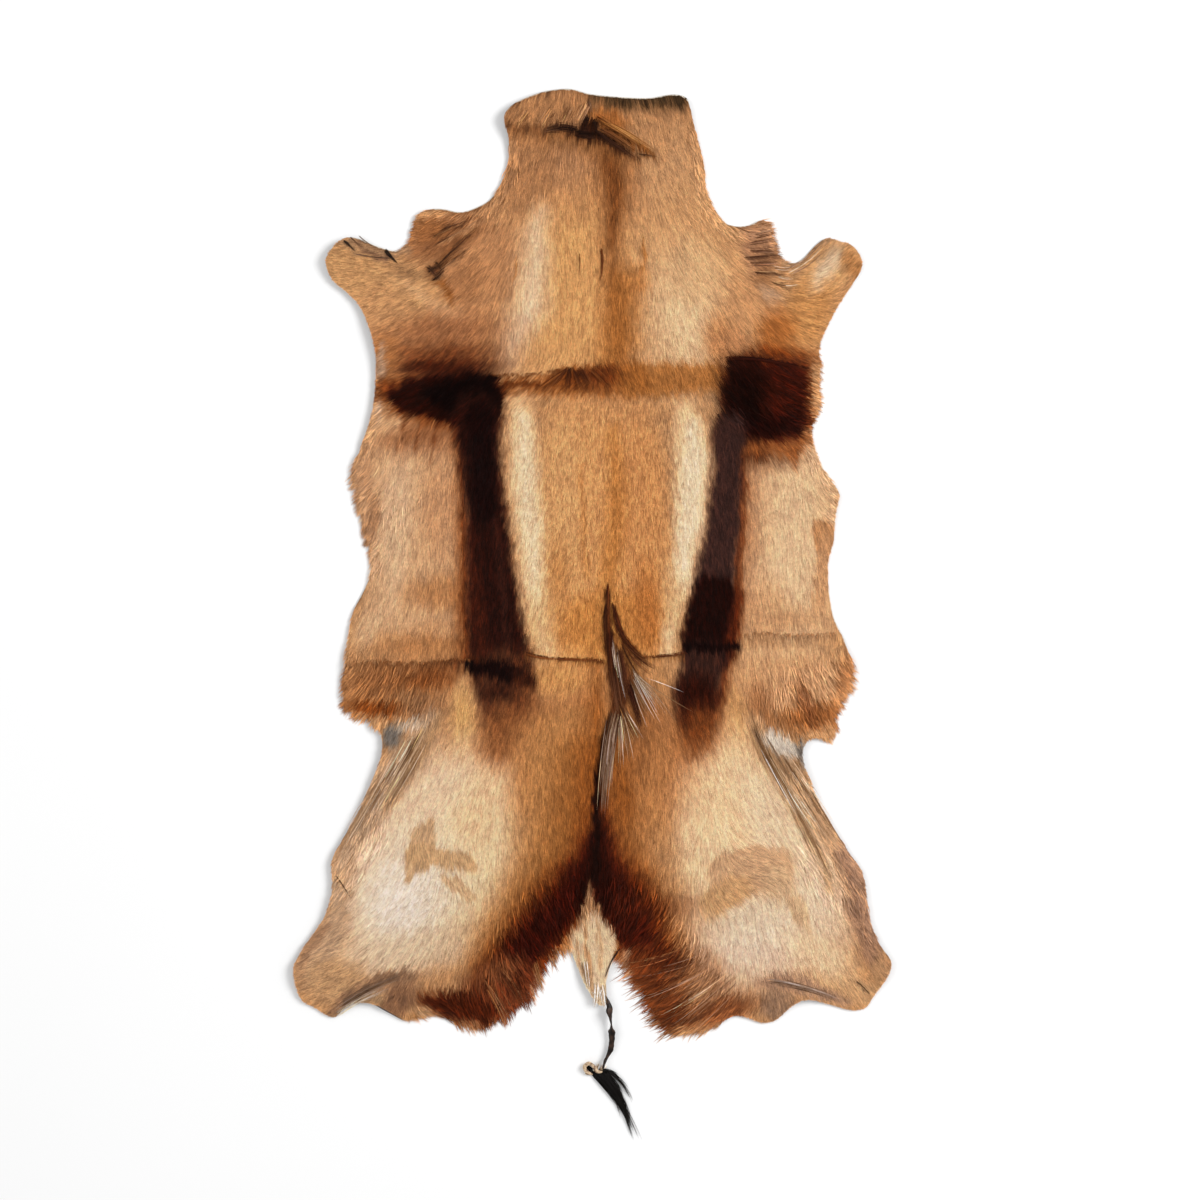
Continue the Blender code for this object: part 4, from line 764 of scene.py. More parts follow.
KNOT_HAIRS = (
    (3.6, -455.6, 4.6, -451.4, 6.6, -447.4, 26, 2.0, 2.6, 4.2, "#c29f7a", "#ecdcc4"),
    (8.4, -454.8, 9.6, -451.0, 9.6, -447.8, 22, 2.0, 2.4, 4.2, "#c29f7a", "#ecdcc4"),
    (1.4, -456.0, 1.6, -452.4, 2.6, -449.4, 16, 1.4, 2.0, 3.8, "#a8855f", "#d9c0a0"),
    (11.0, -453.4, 12.6, -450.4, 14.6, -448.8, 12, 1.4, 1.8, 3.4, "#c29f7a", "#ecdcc4"),
    (-7.0, -457.0, -5.4, -458.6, -1.6, -459.4, 12, 1.2, 1.4, 2.4, "#b9946c", "#d9c0a0"),
)

# The dried end of the tail: x, y, z, width and roll of a strip along its line
TAIL_STRIP = (
    (11.6, -378.5, 5.4, 3.2, 0),
    (14.2, -384.0, 6.4, 4.2, 5),
    (16.8, -390.0, 7.2, 6.0, 20),
    (17.0, -394.5, 7.2, 8.0, 40),
    (17.8, -400.0, 6.8, 6.2, 62),
    (18.7, -407.0, 6.3, 4.4, 85),
    (18.9, -411.0, 6.0, 5.0, 112),
    (19.2, -415.0, 5.7, 8.2, 140),
    (19.4, -420.5, 5.2, 6.4, 160),
    (19.0, -427.0, 4.8, 5.6, 172),
    (18.2, -433.0, 4.4, 5.6, 185),
    (16.2, -437.5, 4.2, 4.4, 200),
    (14.2, -441.5, 4.2, 3.6, 215),
    (12.6, -445.0, 4.3, 4.2, 225),
    (11.4, -448.6, 4.4, 3.6, 235),
    (10.6, -452.6, 4.2, 3.4, 240),
)

# The tail's tip, curled back on itself: x, y, z and radius of a tube
TAIL_CURL = (
    (10.0, -455.6, 3.6, 1.0),
    (4.8, -455.2, 4.2, 1.8),
    (1.2, -450.2, 4.8, 1.8),
    (-3.4, -447.2, 4.8, 1.9),
    (-7.6, -449.8, 4.0, 1.9),
    (-7.4, -453.8, 3.2, 1.7),
    (-4.4, -456.6, 2.6, 1.5),
    (0.2, -458.8, 2.2, 1.0),
)


def tone(code):
    """An sRGB hex code as three shares of 1."""
    return np.array([int(code[k : k + 2], 16) / 255 for k in (1, 3, 5)])


def linear(shares):
    """sRGB shares as linear ones: a straight foot below 0.04045, and above it
    the power 2.4 of the share moved by 0.055."""
    shares = np.clip(shares, 0, 1)
    return np.where(shares <= 0.04045, shares / 12.92, ((shares + 0.055) / 1.055) ** 2.4)


def paint(code):
    """An sRGB hex code as a linear colour."""
    return tuple(linear(tone(code)).tolist())


def hashed(i, j, seed):
    """A fixed number from 0 to 1 for each pair of whole numbers: they are
    multiplied by large odd ones, and high bits are folded onto low ones."""
    n = i.astype(np.int64) * 374761393 + j.astype(np.int64) * 668265263
    n = (n + seed * 974711) & 0x7FFFFFFF
    n = ((n ^ (n >> 13)) * 1274126177) & 0x7FFFFFFF
    return ((n ^ (n >> 16)) & 0xFFFFFF) / 0xFFFFFF


def soft_noise(x, y, seed):
    """Noise from -1 to 1: each whole point's number, eased between the four
    around a place."""
    i, j = np.floor(x), np.floor(y)
    u, v = x - i, y - j
    u, v = u * u * (3 - 2 * u), v * v * (3 - 2 * v)
    low = hashed(i, j, seed) * (1 - u) + hashed(i + 1, j, seed) * u
    high = hashed(i, j + 1, seed) * (1 - u) + hashed(i + 1, j + 1, seed) * u
    return 2 * (low * (1 - v) + high * v) - 1


def through(before, start, end, after, steps):
    """Points from start up to end on the Catmull-Rom curve of four points."""
    t = (np.arange(steps) / steps)[:, None]
    return 0.5 * (
        2 * start
        + (end - before) * t
        + (2 * before - 5 * start + 4 * end - after) * t**2
        + (3 * start - before - 3 * end + after) * t**3
    )


def smooth_run(knots, steps):
    """An open line through all knots, each stretch in that many steps."""
    knots = np.asarray(knots, float)
    ends = np.concatenate([[2 * knots[0] - knots[1]], knots, [2 * knots[-1] - knots[-2]]])
    fine = [through(*ends[k : k + 4], steps=steps) for k in range(len(knots) - 1)]
    return np.concatenate([*fine, knots[-1:]])


def placed(points):
    """Points of the tables in metres, counted from the origin."""
    shift = np.array([MIDDLE[0], MIDDLE[1], 0])
    return (points - shift) * MM


@lru_cache(maxsize=None)
def skin_edge(pitch):
    """The skin's closed outline as points about a pitch apart, each with its
    hair's reach: a Catmull-Rom curve through all its named points, cut into
    equal steps."""
    knots = np.array([(*p, row.reach) for row in OUTLINE for p in row.points], float)
    ring = np.concatenate([knots[-1:], knots, knots[:2]])
    fine = np.concatenate([through(*ring[k : k + 4], steps=10) for k in range(len(knots))])
    fine = np.concatenate([fine, fine[:1]])
    run = np.concatenate([[0], np.cumsum(np.linalg.norm(np.diff(fine[:, :2], axis=0), axis=1))])
    at = np.arange(round(run[-1] / pitch)) * run[-1] / round(run[-1] / pitch)
    return np.stack([np.interp(at, run, fine[:, k]) for k in range(3)], axis=1)


def from_segment(x, y, x0, y0, x1, y1):
    """The share along a segment at which each place is nearest to it, and the
    way from there to the place."""
    wx, wy = x1 - x0, y1 - y0
    share = np.clip(((x - x0) * wx + (y - y0) * wy) / (wx * wx + wy * wy), 0, 1)
    return share, x - x0 - share * wx, y - y0 - share * wy


def rim_of(x, y):
    """How far each place lies inside the skin's edge, less than 0 outside, and
    how far hair reaches over the edge there: the nearest edge's distance,
    signed by counting the edges crossed, and that edge's reach."""
    nearest = np.full(x.shape, np.inf)
    reach = np.zeros(x.shape)
    held = np.zeros(x.shape, bool)
    ring = skin_edge(EDGE_STEP)
    for (x0, y0, over), (x1, y1, _) in zip(ring, np.roll(ring, -1, axis=0)):
        _, dx, dy = from_segment(x, y, x0, y0, x1, y1)
        gap = np.hypot(dx, dy)
        reach = np.where(gap < nearest, over, reach)
        nearest = np.minimum(nearest, gap)
        if y0 != y1:
            crosses = (y0 > y) != (y1 > y)
            held ^= crosses & (x < x0 + (y - y0) * (x1 - x0) / (y1 - y0))
    return np.where(held, nearest, -nearest), reach


Ground = namedtuple("Ground", "under pile rim reach")


def spread_out(grid, rounds):
    """Fills unknown cells from the mean of the known ones around, ring by ring."""
    for _ in range(rounds):
        known = ~np.isnan(grid)
        padded = np.pad(np.stack([np.where(known, grid, 0), known]), ((0, 0), (1, 1), (1, 1)))
        total, near = sum(
            padded[:, a : a + grid.shape[0], b : b + grid.shape[1]] for a in range(3) for b in range(3)
        )
        grid = np.where(known, grid, np.where(near > 0, total / np.maximum(near, 1), np.nan))
    return grid


def skin_depth():
    """The skin's thickness in mm."""
    return bpy.context.scene.hide_sizes.skin_thickness / MM


@lru_cache(maxsize=1)
def ground():
    """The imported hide, felt from below and from above at each point of a
    lattice: the height of its underside and the depth of hair on the skin."""
    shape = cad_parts["hide"].data
    tree = BVHTree.FromPolygons(
        [v.co for v in shape.vertices], [tuple(p.vertices) for p in shape.polygons]
    )
    x, y = np.arange(*FELT_X, FELT_PITCH), np.arange(*FELT_Y, FELT_PITCH)
    under, pile = np.full((2, len(x), len(y)), np.nan)
    for i, px in enumerate(x):
        for j, py in enumerate(y):
            fx, fy = (px - MIDDLE[0]) * MM, (py - MIDDLE[1]) * MM
            low = tree.ray_cast(Vector((fx, fy, -1)), Vector((0, 0, 1)))[0]
            if low is not None:
                high = tree.ray_cast(Vector((fx, fy, 1)), Vector((0, 0, -1)))[0]
                under[i, j] = low.z / MM
                pile[i, j] = max(1.0, (high.z - low.z) / MM - skin_depth())
    rim, reach = rim_of(*np.meshgrid(x, y, indexing="ij"))
    return Ground(spread_out(under, rounds=12), spread_out(pile, rounds=12), rim, reach)


def felt(grid, x, y):
    """The lattice's value at each place, straight between its four corners."""
    u = np.clip((x - FELT_X[0]) / FELT_PITCH, 0, grid.shape[0] - 1.001)
    v = np.clip((y - FELT_Y[0]) / FELT_PITCH, 0, grid.shape[1] - 1.001)
    i, j = u.astype(int), v.astype(int)
    u, v = u - i, v - j
    near = np.nan_to_num(grid)
    return (
        near[i, j] * (1 - u) * (1 - v) + near[i + 1, j] * u * (1 - v)
        + near[i, j + 1] * (1 - u) * v + near[i + 1, j + 1] * u * v
    )


def hair_height(x, y, share):
    """Height in mm at a share of the coat's depth: the solid's underside, the
    skin's thickness and that share of the depth."""
    lie = ground()
    return felt(lie.under, x, y) + skin_depth() + felt(lie.pile, x, y) * share


def lay_of(x, y):
    """Direction in radians and length of the hair at each place: the mean of
    all rows, each weighed by a bell as wide as its reach."""
    ahead, aside, length, total = (np.zeros(x.shape) for _ in range(4))
    for row in map(Lay._make, LAY):
        weight = np.exp(-((x - row.x) ** 2 + (y - row.y) ** 2) / row.reach**2) + 1e-9
        ahead += weight * math.cos(math.radians(row.degrees))
        aside += weight * math.sin(math.radians(row.degrees))
        length += weight * row.length
        total += weight
    return np.arctan2(aside, ahead), length / total


def as_mark(row):
    """A table's row as a stripe or a patch."""
    return Stripe(*row) if isinstance(row[-1], tuple) else Patch(*row)


def box_of(mark):
    """The box outside which a mark covers nothing."""
    if isinstance(mark, Patch):
        reach = max(mark.length, mark.width) * 1.2 + mark.blur
        return mark.x - reach, mark.x + reach, mark.y - reach, mark.y + reach
    knots = np.array(mark.knots)
    reach = knots[:, 2].max() + max(mark.blur_left, mark.blur_right)
    low, high = knots.min(axis=0) - reach, knots.max(axis=0) + reach
    return low[0], high[0], low[1], high[1]


def patch_cover(mark, x, y):
    """How far a patch covers each place, from 0 to 1. Its rounded box has the
    given half length and half width, and its rim is as wide as its blur."""
    turn = math.radians(mark.turned)
    dx, dy = x - mark.x, y - mark.y
    along = np.abs(dx * math.cos(turn) + dy * math.sin(turn)) / mark.length
    across = np.abs(dy * math.cos(turn) - dx * math.sin(turn)) / mark.width
    rim = (along**mark.boxy + across**mark.boxy) ** (1 / mark.boxy) - 1
    return np.clip(0.5 - rim * min(mark.length, mark.width) / mark.blur, 0, 1)


def stripe_cover(mark, x, y):
    """How far a stripe covers each place, from 0 to 1. It runs through its
    knots, each with a half width, and each side has a blur of its own."""
    best, blur = np.full(x.shape, 1e9), np.ones(x.shape)
    for (x0, y0, w0), (x1, y1, w1) in zip(mark.knots[:-1], mark.knots[1:]):
        share, dx, dy = from_segment(x, y, x0, y0, x1, y1)
        gap = np.hypot(dx, dy) - (w0 + (w1 - w0) * share)
        left = (x1 - x0) * dy - (y1 - y0) * dx > 0
        closer = gap < best
        best = np.where(closer, gap, best)
        blur = np.where(closer, np.where(left, mark.blur_left, mark.blur_right), blur)
    return np.clip(0.5 - best / blur, 0, 1)


def coat_colour(x, y):
    """The coat's sRGB shares at each place: every mark laid over the last, its
    rim eased. Places are moved a little by noise, drawn out along the hair."""
    x = x + 2.2 * soft_noise(x / 2.0, y / 6, 11) + 1.6 * soft_noise(x / 12, y / 18, 12)
    y = y + 3.6 * soft_noise(x / 2.0, y / 6, 13) + 1.8 * soft_noise(x / 12, y / 18, 14)
    shown = np.broadcast_to(tone(BASE), (*x.shape, 3)).copy()
    for mark in map(as_mark, COAT):
        low_x, high_x, low_y, high_y = box_of(mark)
        near = np.nonzero((x > low_x) & (x < high_x) & (y > low_y) & (y < high_y))
        cover = (patch_cover if isinstance(mark, Patch) else stripe_cover)(mark, x[near], y[near])
        cover = cover * cover * (3 - 2 * cover) * mark.strength
        shown[near] += (tone(mark.colour) - shown[near]) * cover[..., None]
    return shown


def put(name, points, faces, shades=None, strand=None, smooth=False):
    """A mesh object of these points (mm) and faces, an array of corners for
    each face. Shades are sRGB colours per point, kept as linear ones."""
    mesh = bpy.data.meshes.new(name)
    mesh.vertices.add(len(points))
    mesh.vertices.foreach_set("co", placed(points).astype(np.float32).ravel())
    corners = np.concatenate([rows.ravel() for rows in faces])
    counts = np.concatenate([np.full(len(rows), rows.shape[1]) for rows in faces])
    mesh.loops.add(len(corners))
    mesh.loops.foreach_set("vertex_index", corners.astype(np.int32))
    mesh.polygons.add(len(counts))
    starts = np.concatenate([[0], np.cumsum(counts)[:-1]])
    mesh.polygons.foreach_set("loop_start", starts.astype(np.int32))
    mesh.update(calc_edges=True)
    mesh.polygons.foreach_set("use_smooth", np.full(len(counts), smooth))
    if shades is not None:
        coat = mesh.attributes.new("coat", "FLOAT_COLOR", "POINT")
        full = np.concatenate([linear(shades), np.ones((len(points), 1))], axis=1)
        coat.data.foreach_set("color", full.astype(np.float32).ravel())
    for layer, flat in (("OFBake", (points[:, :2] + UV_HALF) / (2 * UV_HALF)), ("strand", strand)):
        if flat is not None:
            layer = mesh.uv_layers.new(name=layer)
            layer.data.foreach_set("uv", flat[corners].astype(np.float32).ravel())
    made = bpy.data.objects.new(name, mesh)
    bpy.context.scene.collection.objects.link(made)
    return made


def cross_of(way, roll):
    """The side direction of a ribbon whose line runs that way: level and
    square to the line, then rolled about it."""
    level = np.stack([way[..., 1], -way[..., 0], np.zeros(way.shape[:-1])], axis=-1)
    level /= np.maximum(np.linalg.norm(level, axis=-1, keepdims=True), 1e-6)
    up = np.cross(level, way)
    return level * np.cos(roll)[..., None] + up * np.sin(roll)[..., None]


def ribbons(name, lines, widths, rolls, shades):
    """Hairs as ribbons that end in a point, or as triangles where a hair has
    only a root and a tip. Lines are (hair, station, 3), widths and shades go
    with their stations, and each hair has one roll."""
    hairs, stations = lines.shape[:2]
    way = np.gradient(lines, axis=1)
    way /= np.maximum(np.linalg.norm(way, axis=-1, keepdims=True), 1e-6)
    side = cross_of(way, np.broadcast_to(rolls[:, None], (hairs, stations)))
    half = widths[..., None] / 2 * side
    body = np.stack([lines - half, lines + half], axis=2)[:, :-1]
    points = np.concatenate([body.reshape(hairs, -1, 3), lines[:, -1:]], axis=1)
    per = points.shape[1]
    first = (np.arange(hairs) * per)[:, None]
    faces = [first + 2 * k + np.array([[0, 1, 3, 2]]) for k in range(stations - 2)]
    faces.append(first + per - np.array([[3, 2, 1]]))
    tones = np.concatenate([np.repeat(shades[:, :-1], 2, axis=1), shades[:, -1:]], axis=1)
    run = np.concatenate([np.repeat(np.arange(stations - 1), 2), [stations - 1]]) / (stations - 1)
    across = np.concatenate([np.tile([0.0, 1.0], stations - 1), [0.5]])
    strand = np.tile(np.stack([across, run], axis=1), (hairs, 1))
    return put(name, points.reshape(-1, 3), faces, shades=tones.reshape(-1, 3), strand=strand)


def swept(name, line, widths, rolls, thin, seed):
    """A flat oval carried along a line: across by half the width, up by half
    the width times thin, both rolled about the line, with shallow ridges from
    noise. Its ends close to a point."""
    sides = 20
    way = np.gradient(line, axis=0)
    way /= np.linalg.norm(way, axis=1, keepdims=True)
    across = cross_of(way, rolls)
    up = np.cross(across, way)
    turn = np.arange(sides) * 2 * np.pi / sides
    step = np.arange(len(line))
    ridge = 1 + 0.1 * soft_noise(*np.broadcast_arrays(step[:, None] / 3.0, 2.2 * np.cos(turn)), seed)
    closing = np.ones(len(line))
    closing[[0, -1]] = 0.35
    half = (widths / 2 * closing)[:, None] * ridge
    rings = (
        line[:, None]
        + across[:, None] * (half * np.cos(turn))[..., None]
        + up[:, None] * (half * thin * np.sin(turn))[..., None]
    )
    points = np.concatenate([rings.reshape(-1, 3), line[:1], line[-1:]])
    points[:, 2] = np.maximum(points[:, 2], 0.2)
    s = np.arange(sides)
    after = (s + 1) % sides
    ring = np.stack([s, s + sides, after + sides, after], axis=1)
    quads = (np.arange(len(line) - 1)[:, None, None] * sides + ring).reshape(-1, 4)
    first, last = len(line) * sides, (len(line) - 1) * sides
    start = np.stack([s, after, np.full(sides, first)], axis=1)
    end = np.stack([last + after, last + s, np.full(sides, first + 1)], axis=1)
    return put(name, points, [quads, start, end], smooth=True)


def scattered(pitch, seed):
    """A place at random in each cell of a grid of that pitch, as two arrays."""
    rng = np.random.default_rng(seed)
    x, y = np.meshgrid(np.arange(*SOWN_X, pitch), np.arange(*SOWN_Y, pitch), indexing="ij")
    x = (x + rng.random(x.shape) * pitch).ravel()
    y = (y + rng.random(y.shape) * pitch).ravel()
    return x, y


def folded_back(x, y, tip_x, tip_y):
    """The share of each hair that stays above the folds that it crosses. A
    fold's line is serrated by noise, in step with how long its tufts hang."""
    share = np.ones(x.shape)
    for row in FOLDS:
        knots = np.array(row.knots)
        held = (x > knots[0, 0]) & (x < knots[-1, 0])
        line = np.interp(x, knots[:, 0], knots[:, 1]) + 0.5 * row.hang * soft_noise(x / 2.6, y / 60, 23)
        crosses = held & (y > line) & (tip_y < line)
        part = (y - line) / np.maximum(y - tip_y, 1e-3)
        share = np.where(crosses, np.minimum(share, np.maximum(part, 0.25)), share)
    return share


def clump_of(x, y, turn, wide, seed):
    """Clumps of hair lying side by side: cells that many mm wide and 2.6 times
    as long, drawn out along the lay of the coat, which is rounded to 15
    degrees. Returns each cell's two whole numbers and how far to the left of
    its middle line each place lies."""
    step = np.round(turn / (np.pi / 12))
    along, aside = np.cos(step * np.pi / 12), np.sin(step * np.pi / 12)
    lane = (y * along - x * aside) / wide
    j = np.floor(lane)
    j_key = j * 24 + step % 24
    i = np.floor((x * along + y * aside) / (2.6 * wide) + hashed(j_key, step, seed))
    return i, j_key, (lane - j - 0.5) * wide


def lay_hair(x, y, stations, seed, clump, pull, wander, rises, longest):
    """Lines of hair from these roots: (hair, station, 3) and each hair's
    chance numbers. A hair runs straight with the lay of the coat, turned by
    noise, and bends sideways towards the middle line of its clump, by the
    square of its run. Its tip stays within the reach of hair over the skin's
    edge, which differs by clump and is most in a clump's middle, so that rims
    end in pointed tufts. It stands at its rise's share of the coat's depth, and
    droops where it hangs over the edge."""
    lie = ground()
    rng = np.random.default_rng(seed)
    turn, length = lay_of(x, y)
    i, j, off = clump_of(x, y, turn, clump, seed)
    turn = turn + wander * (
        0.6 * soft_noise(x / 26, y / 26, seed)
        + 0.5 * (hashed(i, j, seed + 1) - 0.5)
        + 0.5 * rng.standard_normal(x.shape)
    )
    length = np.minimum(length, longest) * (0.7 + 0.45 * rng.random(x.shape))
    length = length * (0.85 + 0.3 * hashed(i, j, seed + 2))
    ahead = np.stack([np.cos(turn), np.sin(turn)], axis=1)
    aside = np.stack([-ahead[:, 1], ahead[:, 0]], axis=1)
    length = length * folded_back(x, y, x + length * ahead[:, 0], y + length * ahead[:, 1])
    gap = felt(lie.rim, x, y)
    stray = hashed(i, j, seed + 7) * (1 - 1.2 * np.abs(off) / clump) * (0.7 + 0.6 * rng.random(x.shape))
    reach = felt(lie.reach, x, y) * np.minimum(0.1 + 1.2 * stray, 1.2)
    lost = gap - felt(lie.rim, x + length * ahead[:, 0], y + length * ahead[:, 1])
    length = length * np.clip((gap + reach) / np.maximum(lost, 0.1), 0.2, 1)
    curl = rng.standard_normal(x.shape) * 0.05 * length
    bend = pull * off * np.clip(length / 8, 0, 1)
    run = np.linspace(0, 1, stations)
    flat = (
        np.stack([x, y], axis=1)[:, None]
        + ahead[:, None] * (length[:, None] * run)[..., None]
        + aside[:, None] * (curl[:, None] * run * (1 - run) * 4 - bend[:, None] * run**2)[..., None]
    )
    px, py = flat[..., 0], flat[..., 1]
    vary = 0.85 + 0.2 * rng.random(x.shape) + 0.2 * (hashed(i, j, seed + 5) - 0.5)
    rise = np.interp(run, np.linspace(0, 1, len(rises)), rises) * vary[:, None]
    rise[:, 0] *= np.clip(gap / 9, 0, 1)
    out = np.maximum(0, -felt(lie.rim, px, py))
    z = hair_height(px, py, rise) - DROOP * out - DROOP_SQUARED * out**2
    return np.stack([px, py, np.maximum(z, 0.25)], axis=2), rng, hashed(i, j, seed + 6)


def shade_hair(lines, rng, clump, spread, at=0.5, root=0.8):
    """Colours of laid hair: the coat's colour under its middle, lighter and
    darker by chance for each hair and each clump, and darker at its root.
    Where the coat is light, its lighter hairs run towards cream, and where it
    is nearly black, its hairs differ more."""
    stations = lines.shape[1]
    middle = lines[:, 0, :2] * (1 - at) + lines[:, -1, :2] * at
    colour = coat_colour(middle[:, 0], middle[:, 1])
    spread = spread * (1 + 1.7 * np.clip(1 - 2.5 * colour.mean(axis=1), 0, 1))
    bright = 1 + spread * (0.6 * rng.standard_normal(len(lines)) + 1.4 * (clump - 0.5))
    bright = np.clip(bright, 0.6, 1.45)
    run = np.linspace(0, 1, stations)
    fade = (bright[:, None] * np.interp(run, [0, 0.4, 1], [root, 1.0, 1.12]))[..., None]
    fade = np.where(fade < 1, fade**WARMTH, fade ** (2 - WARMTH))
    plain = np.clip(colour[:, None] * fade, 0, 1)
    pale = plain + (tone(PALE_HAIR) - plain) * np.clip(fade - 1, 0, 1) * 1.2
    light = np.clip(1.6 * colour.mean(axis=1) - 0.25, 0, 1)[:, None, None]
    return np.clip(plain + (np.minimum(pale, colour[:, None] * 2) - plain) * light, 0, 1)


def lock_lines(row, rng, stations, base_of, loose):
    """The hairs of one lock. Each follows the lock's bent line, moved aside by
    its share of the root's and tip's widths and drawn into tufts about 1.6 mm
    wide. It starts by chance up to the loose share along the line and ends
    short by chance, and arches over the coat by up to the row's rise. Returns
    the hairs, how far along the line each of their points is, and each hair's
    tuft."""
    run = np.linspace(0, 1, stations)[None, :, None]
    start = loose * rng.random((row.hairs, 1, 1)) ** 1.5
    t = start + (1 - start - 0.38 * rng.random((row.hairs, 1, 1)) ** 2) * run
    knots = [np.array(p, float) for p in ((row.x0, row.y0), (row.x1, row.y1), (row.x2, row.y2))]
    flat = knots[0] * (1 - t) ** 2 + knots[1] * 2 * t * (1 - t) + knots[2] * t**2
    way = knots[2] - knots[0]
    aside = np.array([-way[1], way[0]]) / np.linalg.norm(way)
    off = np.clip(0.28 * rng.standard_normal((row.hairs, 1, 1)), -0.7, 0.7)
    swing = rng.standard_normal((row.hairs, 1, 1)) * 0.1
    spread = row.wide * (1 - t) ** 2 + (row.wide + row.fan) * t * (1 - t) + row.fan * t**2
    tufts = max(row.wide, row.fan) / 1.6
    tuft = np.round(off * tufts)
    off = off + (tuft / tufts - off) * 0.75 * t
    flat = flat + aside * (off + swing * t) * spread
    far = np.linalg.norm(way)
    flat = flat + way / far * rng.uniform(-3, 3, (row.hairs, 1, 1)) * min(1, far / 40)
    z = base_of(flat[..., 0], flat[..., 1], run[..., 0] + 0 * t[..., 0])
    arch = 0.25 + 0.75 * np.sin(np.pi * np.clip(t[..., 0], 0, 1) ** 0.7)
    z = z + row.rise * (0.2 + 0.8 * rng.random((row.hairs, 1))) * arch
    return np.stack([flat[..., 0], flat[..., 1], z], axis=2), t[..., 0], tuft


def locks(name, rows, seed, width, stations, base_of, loose=0.0):
    """A piece of listed locks: ribbons whose colour runs from root to tip.
    Hairs differ in brightness, and so do their tufts. Loose ones start here and
    there along their line and take on part of the coat's colour, more of it
    towards their tips."""
    rng = np.random.default_rng(seed)
    lines, shades = [], []
    for k, row in enumerate(map(Lock._make, rows)):
        made, t, tuft = lock_lines(row, rng, stations, base_of, loose)
        mix = t[..., None]
        colour = tone(row.root) * (1 - mix) + tone(row.tip) * mix
        bright = 0.26 * rng.standard_normal((row.hairs, 1, 1))
        bright = bright + 1.1 * (hashed(tuft, tuft * 0 + k, seed) - 0.5)
        colour = colour * np.clip(np.exp(bright) ** WARMTH, 0.4, 2.2)
        if loose:
            own = np.linspace(0, 1, stations)[None, :, None]
            share = loose * (rng.random((row.hairs, 1, 1)) + 0.7 * own**2)
            colour += (coat_colour(made[..., 0], made[..., 1]) - colour) * share
        lines.append(made)
        shades.append(np.clip(colour, 0, 1))
    lines, shades = np.concatenate(lines), np.concatenate(shades)
    taper = np.interp(np.linspace(0, 1, stations), [0, 0.25, 1], [0.7, 1, 0.25])
    widths = width * (0.75 + 0.5 * rng.random((len(lines), 1))) * taper
    rolls = rng.uniform(-0.5, 0.5, len(lines))
    return ribbons(name, lines, widths, rolls, shades)


def on_coat(x, y, t):
    """The top of the coat, where a lock lies that springs from it: from 45% of
    its depth at the root to all of it a fifth along."""
    out = np.maximum(0, -felt(ground().rim, x, y))
    rise = np.interp(t, [0, 0.2, 1], [0.45, 1.0, 1.0])
    return np.maximum(0.4, hair_height(x, y, rise) - DROOP * out)


def fold_shade_tufts(name, seed, width):
    """Tufts that hang over the folds' lines. A tuft is 2.6 mm wide and of one
    chance length, and its hairs run with the lay of the coat, from the fold's
    shade at the root, a dark colour painted as the fold's shadow, towards the
    coat's colour at the tip."""
    rng = np.random.default_rng(seed)
    run = np.linspace(0, 1, 4)
    lines, shades = [], []
    for k, row in enumerate(FOLDS):
        knots = np.array(row.knots)
        x = rng.uniform(knots[0, 0], knots[-1, 0], int((knots[-1, 0] - knots[0, 0]) * 3.2))
        tuft = hashed(np.floor(x / 2.6), np.full(x.shape, k), seed)
        x, tuft = x[tuft > 0.3], tuft[tuft > 0.3]
        y = np.interp(x, knots[:, 0], knots[:, 1]) + 0.8 * rng.standard_normal(x.shape) + 2 * tuft
        turn = lay_of(x, y)[0] + 0.12 * rng.standard_normal(x.shape)
        length = row.hang * (1.4 * tuft - 0.2) * (0.7 + 0.5 * rng.random(x.shape))
        px = x[:, None] + (np.cos(turn) * length)[:, None] * run
        py = y[:, None] + (np.sin(turn) * length)[:, None] * run
        lines.append(np.stack([px, py, on_coat(px, py, run + 0 * px)], axis=2))
        mix = (0.7 * run**1.5)[:, None]
        bright = 1 + 0.2 * rng.standard_normal((len(x), 1, 1))
        shades.append(np.clip(tone(row.shade) * bright * (1 - mix) + coat_colour(px, py) * mix, 0, 1))
    lines, shades = np.concatenate(lines), np.concatenate(shades)
    widths = width * (0.7 + 0.5 * rng.random((len(lines), 1))) * np.array([0.8, 1, 0.7, 0.2])
    return ribbons(name, lines, widths, rng.uniform(-0.5, 0.5, len(lines)), shades)


def on_floor(x, y, t):
    """The plane, for the tuft: from 1 mm at the root down to 0.4 at the tip."""
    return 1.0 - 0.6 * t


def add(tree, kind, inputs=None, stops=(), **settings):
    """A node with its settings and, on a ramp, its two stops. Its inputs, by
    name or number, are values or sockets to link."""
    node = tree.nodes.new(kind)
    for key, value in settings.items():
        setattr(node, key, value)
    for key, value in (inputs or {}).items():
        if isinstance(value, bpy.types.NodeSocket):
            tree.links.new(value, node.inputs[key])
        else:
            node.inputs[key].default_value = value
    for k, (at, colour) in enumerate(stops):
        node.color_ramp.elements[k].position = at
        node.color_ramp.elements[k].color = (*colour, 1)
    return node


def blank(name):
    """(node tree, object coordinates) of a fresh material."""
    made = bpy.data.materials.new(name)
    made.use_nodes = True
    return made.node_tree, add(made.node_tree, "ShaderNodeTexCoord").outputs["Object"]


